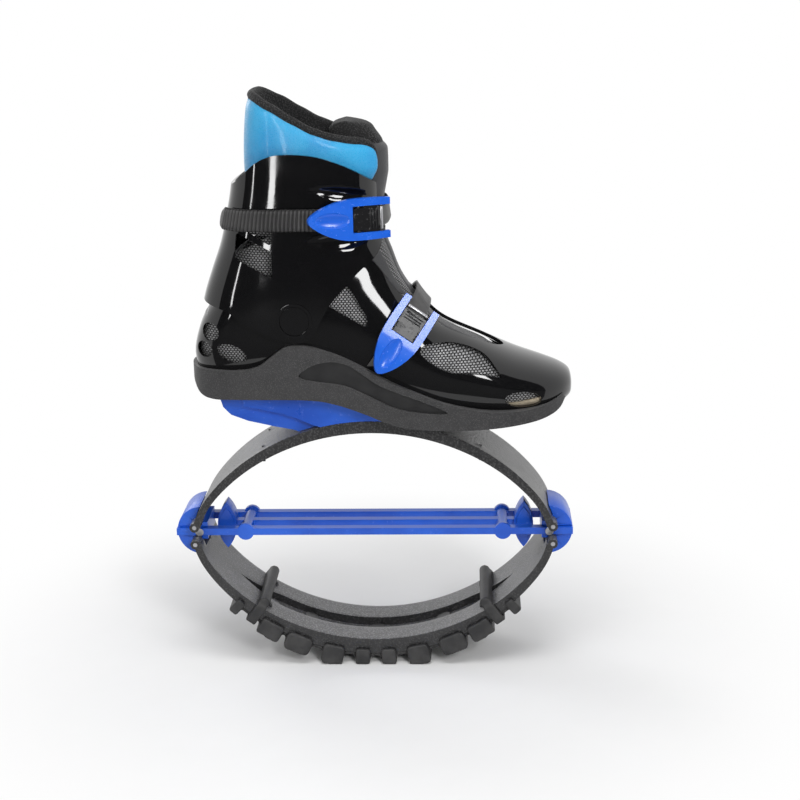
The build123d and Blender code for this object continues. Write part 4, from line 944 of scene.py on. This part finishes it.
def swelled(piece):
    """Padding by cloth simulation: the pad swells, no point by more than the swelling."""
    start = [vert.co.copy() for vert in piece.data.vertices]
    cloth = piece.modifiers.new("Padding", "CLOTH")
    cloth.settings.use_pressure = True
    cloth.settings.uniform_pressure_force = pressure
    cloth.settings.effector_weights.gravity = 0.0
    cloth.settings.tension_stiffness = 40
    cloth.settings.bending_stiffness = 2
    for step in range(1, 21):
        scene.frame_set(step)
    settled(piece)
    for vert, before in zip(piece.data.vertices, start):
        shift = vert.co - before
        if shift.length > swelling:
            vert.co = before + shift.normalized() * swelling
    scene.frame_set(1)


upper_tongue = pad("upper_tongue_padded", 60, 60, tongue_profile, tongue_top_cover, (charcoal, knit))
swelled(upper_tongue)
refined(upper_tongue)
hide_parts("tongue_upper")
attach(upper_tongue, "cuff")

# Buckles: on each, a black base on the shell, a bright blue lever on a steel pin, and a gloss
# black release plate that lifts the lever's pawl out of the strap's ribs
lever_blue = Finish("bright_blue_lever_plastic", (0.006, 0.11, 0.66), 0.3, Coat_Weight=0.1)
cloud = lever_blue.noise(60.0, 4.0)
rubbed = lever_blue.ramp(lever_blue.noise(420.0, 5.0), 0.62, 0.78)
blue = lever_blue.mix(cloud, (0.004, 0.092, 0.60), (0.009, 0.140, 0.74))
lever_blue.feed(
    Base_Color=lever_blue.mix(rubbed * 0.4, blue, (0.16, 0.34, 0.90)),
    Roughness=cloud * 0.12 + 0.2 + rubbed * 0.15,
)
lever_blue.relief(cloud + rubbed, 0.00006, 0.5)
lever_plan = ((0.0040, 0.0150), (-0.0120, 0.0156), (-0.0260, 0.0154), (-0.0360, 0.0139), (-0.0450, 0.0108),
              (-0.0520, 0.0070), (-0.0566, 0.0032), (-0.0580, 0.0))
lever_side = ((0.0060, 0.0074), (-0.0250, 0.0074), (-0.0340, 0.0069), (-0.0450, 0.0050), (-0.0600, 0.0005))
lever_thickness = 0.0040
lever_room = 0.02
opening_back, opening_half = -0.0255, 0.00985
hollow_middle, hollow_radii, hollow_tilt = (-0.0405, 0, 0.0058), (0.0135, 0.0060, 0.0024), -11
lever_places = (
    ("cuff_lever", (0.0130, -0.0362, 0.3663), (0.914, 0.407, 0.0), (0.407, -0.914, 0.0)),
    ("instep_lever", (0.0392, -0.0374, 0.2951), (0.537, 0.373, 0.757), (0.216, -0.927, 0.304)),
)
for name, place, along, outward in lever_places:
    far_edge = [(x, -y) for x, y in lever_plan[-2::-1]]
    plan = smoothed([(x, y, 0) for x, y in lever_plan + tuple(far_edge)])
    lever = made(name + "_moulding", prism(plan, -lever_room, lever_room, "Z"), lever_blue)
    top = smoothed([(x, 0, z) for x, z in lever_side])
    bottom = [point - Vector((0, 0, lever_thickness)) for point in reversed(top)]
    cut(lever, prism(top + bottom), "INTERSECT")
    opening = ((lever_room, -opening_half), (lever_room, opening_half), (opening_back, opening_half),
               (opening_back, -opening_half))
    cut(lever, prism(opening, -lever_room, lever_room, "Z"))
    hollow = bmesh.new()
    bmesh.ops.create_uvsphere(hollow, u_segments=48, v_segments=24, radius=1.0)
    bmesh.ops.scale(hollow, verts=hollow.verts, vec=hollow_radii)
    bmesh.ops.rotate(hollow, verts=hollow.verts, matrix=Matrix.Rotation(math.radians(hollow_tilt), 3, "Y"))
    bmesh.ops.translate(hollow, verts=hollow.verts, vec=hollow_middle)
    cut(lever, hollow)
    out = Vector(outward).normalized()
    forth = Vector(along)
    forth = (forth - out * forth.dot(out)).normalized()
    axes = Matrix((forth, out.cross(forth), out)).transposed()
    lever.data.transform(Matrix.Translation(place) @ axes.to_4x4())
    finished(lever, 0.0009, steps=3)
    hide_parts(name)
    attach(lever, name)

plate_black = Finish("worn_gloss_black_plate", (0.010, 0.010, 0.011), 0.18, Specular_IOR_Level=0.35)
chips = plate_black.ramp(plate_black.noise(520.0, 5.0), 0.60, 0.66)
dents = plate_black.ramp(plate_black.cells(190.0), 0.15, 0.45)
plate_black.feed(
    Base_Color=plate_black.mix(chips * 0.2, (0.008, 0.008, 0.009), (0.30, 0.30, 0.31)),
    Roughness=chips * 0.3 + 0.30,
)
plate_black.relief(dents + chips * 0.4, 0.00010, 0.6)
for name in ("cuff_release", "instep_release"):
    dressed(name, plate_black, edge=0.0006)
for name in ("cuff_base", "instep_base"):
    dressed(name, button_black, edge=0.0005)

# Straps: dull grey ladder straps, ribbed across where the pawl bites, smooth towards their
# ends. They are screwed on at the inner side and lie over the buckle bases.
strap_grey = Finish("strap_plastic", (0.035, 0.035, 0.037), 0.5)
mottle = strap_grey.noise(120.0, 4.0)
strap_grey.feed(
    Base_Color=strap_grey.mix(mottle, (0.020, 0.020, 0.021), (0.062, 0.060, 0.060)),
    Roughness=strap_grey.noise(300.0) * 0.3 + 0.36,
)
strap_grey.relief(strap_grey.noise(1500.0, 2.0), 0.00008, 0.5)
dressed("instep_strap", strap_grey, edge=0.0005)
strap_middle = 0.366
strap_half_width = 0.0083
strap_lift = 0.0024
strap_thickness = 0.0022
strap_floor = 0.0012
anchor_turn, tail_turn = 0.2512, 0.5560
rib_pitch = 0.00295
plain_end = 0.0085
ribbed_length = 0.098
cuff_row_rise = 0.079


def cuff_at(turn, height, inset):
    """The cuff form's point at a turn and a height, where its rows stand evenly."""
    place = 5.0 + (height - spot(0, cuff_rows[5][1]).z) / (cuff_row_rise * boot_height)
    return on_form(cuff_rows, place, turn % 1.0, inset, cuff_round)


fine_turns = np.linspace(anchor_turn, tail_turn - 1.0, 1601)
strap_line = [cuff_at(turn, strap_middle, -strap_lift) for turn in fine_turns]
strap_run = [0.0]
for here, there in zip(strap_line, strap_line[1:]):
    strap_run.append(strap_run[-1] + (there - here).length)
strap_length = strap_run[-1]


def strap_skin(u, v):
    """The strap's section at a run along it: its outer face for u below 0.5, then its inner."""
    run = v * strap_length
    across = tongue_side(u)
    from_edge = max(0.0, min(run, strap_length - run))
    round_end = (1 - max(0.0, 1 - from_edge / strap_half_width) ** 2.4) ** 0.5
    height = strap_middle + across * max(0.0004, strap_half_width * round_end)
    from_tail = strap_length - run
    rib = 1.0
    if plain_end < from_tail < ribbed_length:
        wave = 0.5 + 0.8 * math.sin(2 * math.pi * (from_tail - plain_end) / rib_pitch - math.pi / 2)
        rib = min(1.0, max(0.0, wave))
    edge = (1 - abs(across) ** 14) ** 0.5
    full = strap_floor + (strap_thickness - strap_floor) * rib
    middle = strap_lift + strap_thickness / 2
    out = strap_lift + full * (0.5 + 0.5 * edge) if u <= 0.5 else middle - strap_thickness / 2 * edge
    return cuff_at(np.interp(run, strap_run, fine_turns), height, -out)


ribbed_grey = Finish("ribbed_strap_plastic", (0.03, 0.03, 0.032), 0.5)
run_left = (1 - ribbed_grey.axis(1, ribbed_grey.node("TexCoord", (), "UV"))) * strap_length
phase = ribbed_grey.maths("FRACT", (run_left - plain_end) * (1 / rib_pitch) + 0.5, 0)
# Painted shade: the grooves between the ribs are darkened nearly to black along the ribbed run.
groove = ribbed_grey.ramp(ribbed_grey.maths("ABSOLUTE", phase - 0.5, 0), 0.24, 0.12)
past_end = ribbed_grey.maths("GREATER_THAN", run_left, plain_end)
groove = groove * past_end * ribbed_grey.maths("LESS_THAN", run_left, ribbed_length)
mottle = ribbed_grey.noise(120.0, 4.0)
grey = ribbed_grey.mix(mottle, (0.018, 0.018, 0.019), (0.060, 0.058, 0.058))
ribbed_grey.feed(
    Base_Color=ribbed_grey.mix(groove * 0.9, grey, (0.002, 0.002, 0.002)),
    Roughness=mottle * 0.3 + 0.34,
)
ribbed_grey.relief(ribbed_grey.noise(1500.0, 2.0), 0.00008, 0.5)
ladder = pad("cuff_strap_ladder", 20, 760, strap_skin, lambda u, v: 0, (ribbed_grey,))
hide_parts("cuff_strap")
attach(ladder, "cuff")

# Floor, world and camera: a pale floor that keeps the shadow and runs into the white behind,
# and the camera of the photograph's view
white_start, white_end = 0.19, 0.40
floor = Finish("pale_floor", (0.88, 0.88, 0.88), 0.9)
floor.feed(Base_Color=floor.mix(floor.noise(40.0), (0.87, 0.87, 0.87), (0.89, 0.89, 0.89)))
distance = floor.node("VectorMath", {"operation": "LENGTH"}, 1, i0=floor.where)
away = floor.ramp(distance, white_start, white_end)
glow = floor.node("Emission", (), 0, Color=(1, 1, 1, 1), Strength=1.0)
pale = Value(floor, floor.shader.outputs[0])
surface = floor.node("MixShader", (), 0, i0=floor.seen() * away, i1=pale, i2=glow)
floor.link(surface, "Material Output", "Surface")
bm = bmesh.new()
bmesh.ops.create_grid(bm, x_segments=1, y_segments=1, size=6.0)
ground = made("floor", bm, floor)

light_level, seen_level = 0.45, 1.0
world = bpy.data.worlds.new("white_studio")
studio = Graph(world)
level = studio.node("MapRange", (), 0, Value=studio.seen(), To_Min=light_level, To_Max=seen_level)
studio.link(level, "Background", "Strength")
world.node_tree.nodes["Background"].inputs["Color"].default_value = (1, 1, 1, 1)
scene.world = world
scene.view_settings.view_transform = "Standard"

look_down, look_left, nose_up = (math.radians(angle) for angle in (16.4, 2.36, 1.12))
stand = (0.07866, -1.20448, 0.56642)
forward = Vector((-math.sin(look_left) * math.cos(look_down), math.cos(look_left) * math.cos(look_down),
                  -math.sin(look_down)))
rightward = Vector((math.cos(look_left), math.sin(look_left), 0))
roll = Matrix.Rotation(nose_up, 3, "Y")
axes = Matrix([roll @ rightward, roll @ rightward.cross(forward), roll @ -forward]).transposed()
camera = bpy.data.objects.new("camera", bpy.data.cameras.new("camera"))
scene.collection.objects.link(camera)
camera.matrix_world = Matrix.Translation(stand) @ axes.to_4x4()
camera.data.lens = 71.235
camera.data.sensor_width = 36
camera.data.clip_end = 30
scene.camera = camera

# Lamps: a dark card round the camera's side, seen only in gloss, keeps the black plastic black
# between the soft boxes, and two narrow strips beside the camera draw the tall highlights
card = Finish("dark_card", (0.10, 0.10, 0.10), 0.9)
card.feed(Roughness=card.noise(6.0) * 0.1 + 0.85)
bm = bmesh.new()
for inner, depth, middle in ((2.3, 3.2, 1.61), (0.42, 0.008, 0.006)):
    ring = bmesh.ops.create_cone(bm, cap_ends=False, segments=72, radius1=inner, radius2=2.3, depth=depth)
    bmesh.ops.translate(bm, verts=ring["verts"], vec=(0, 0, middle))
middles = [(face, face.calc_center_median()) for face in bm.faces]
behind = [face for face, middle in middles if middle.y > -0.4 * middle.to_2d().length]
bmesh.ops.delete(bm, geom=behind, context="FACES")
dark_card = made("dark_card", bm, card)
dark_card.visible_camera = dark_card.visible_diffuse = dark_card.visible_shadow = False

shoe_middle = Vector((0.0, 0.0, 0.27))
lamps = (
    ("tall_strip", (-0.465, -1.50, 0.62), 0.13, 1.00, 7.6, "gloss"),
    ("narrow_strip", (-1.08, -1.16, 0.62), 0.06, 1.10, 3.6, "gloss"),
    ("key_box", (0.60, -1.38, 0.96), 0.36, 0.50, 11.0, "both"),
    ("overhead_box", (0.05, -0.45, 1.75), 1.1, 0.8, 12.0, "colour"),
    ("rear_box", (-0.9, 1.0, 0.9), 0.7, 1.0, 6.0, "both"),
)
for name, position, width, height, power, reach_of in lamps:
    light = bpy.data.lights.new(name, "AREA")
    light.shape = "RECTANGLE"
    light.size, light.size_y = width, height
    light.energy = power
    lamp = bpy.data.objects.new(name, light)
    scene.collection.objects.link(lamp)
    aim = (shoe_middle - Vector(position)).to_track_quat("-Z", "Y").to_matrix().to_4x4()
    lamp.matrix_world = Matrix.Translation(position) @ aim
    lamp.visible_camera = False
    lamp.visible_diffuse = reach_of != "gloss"
    lamp.visible_glossy = reach_of != "colour"
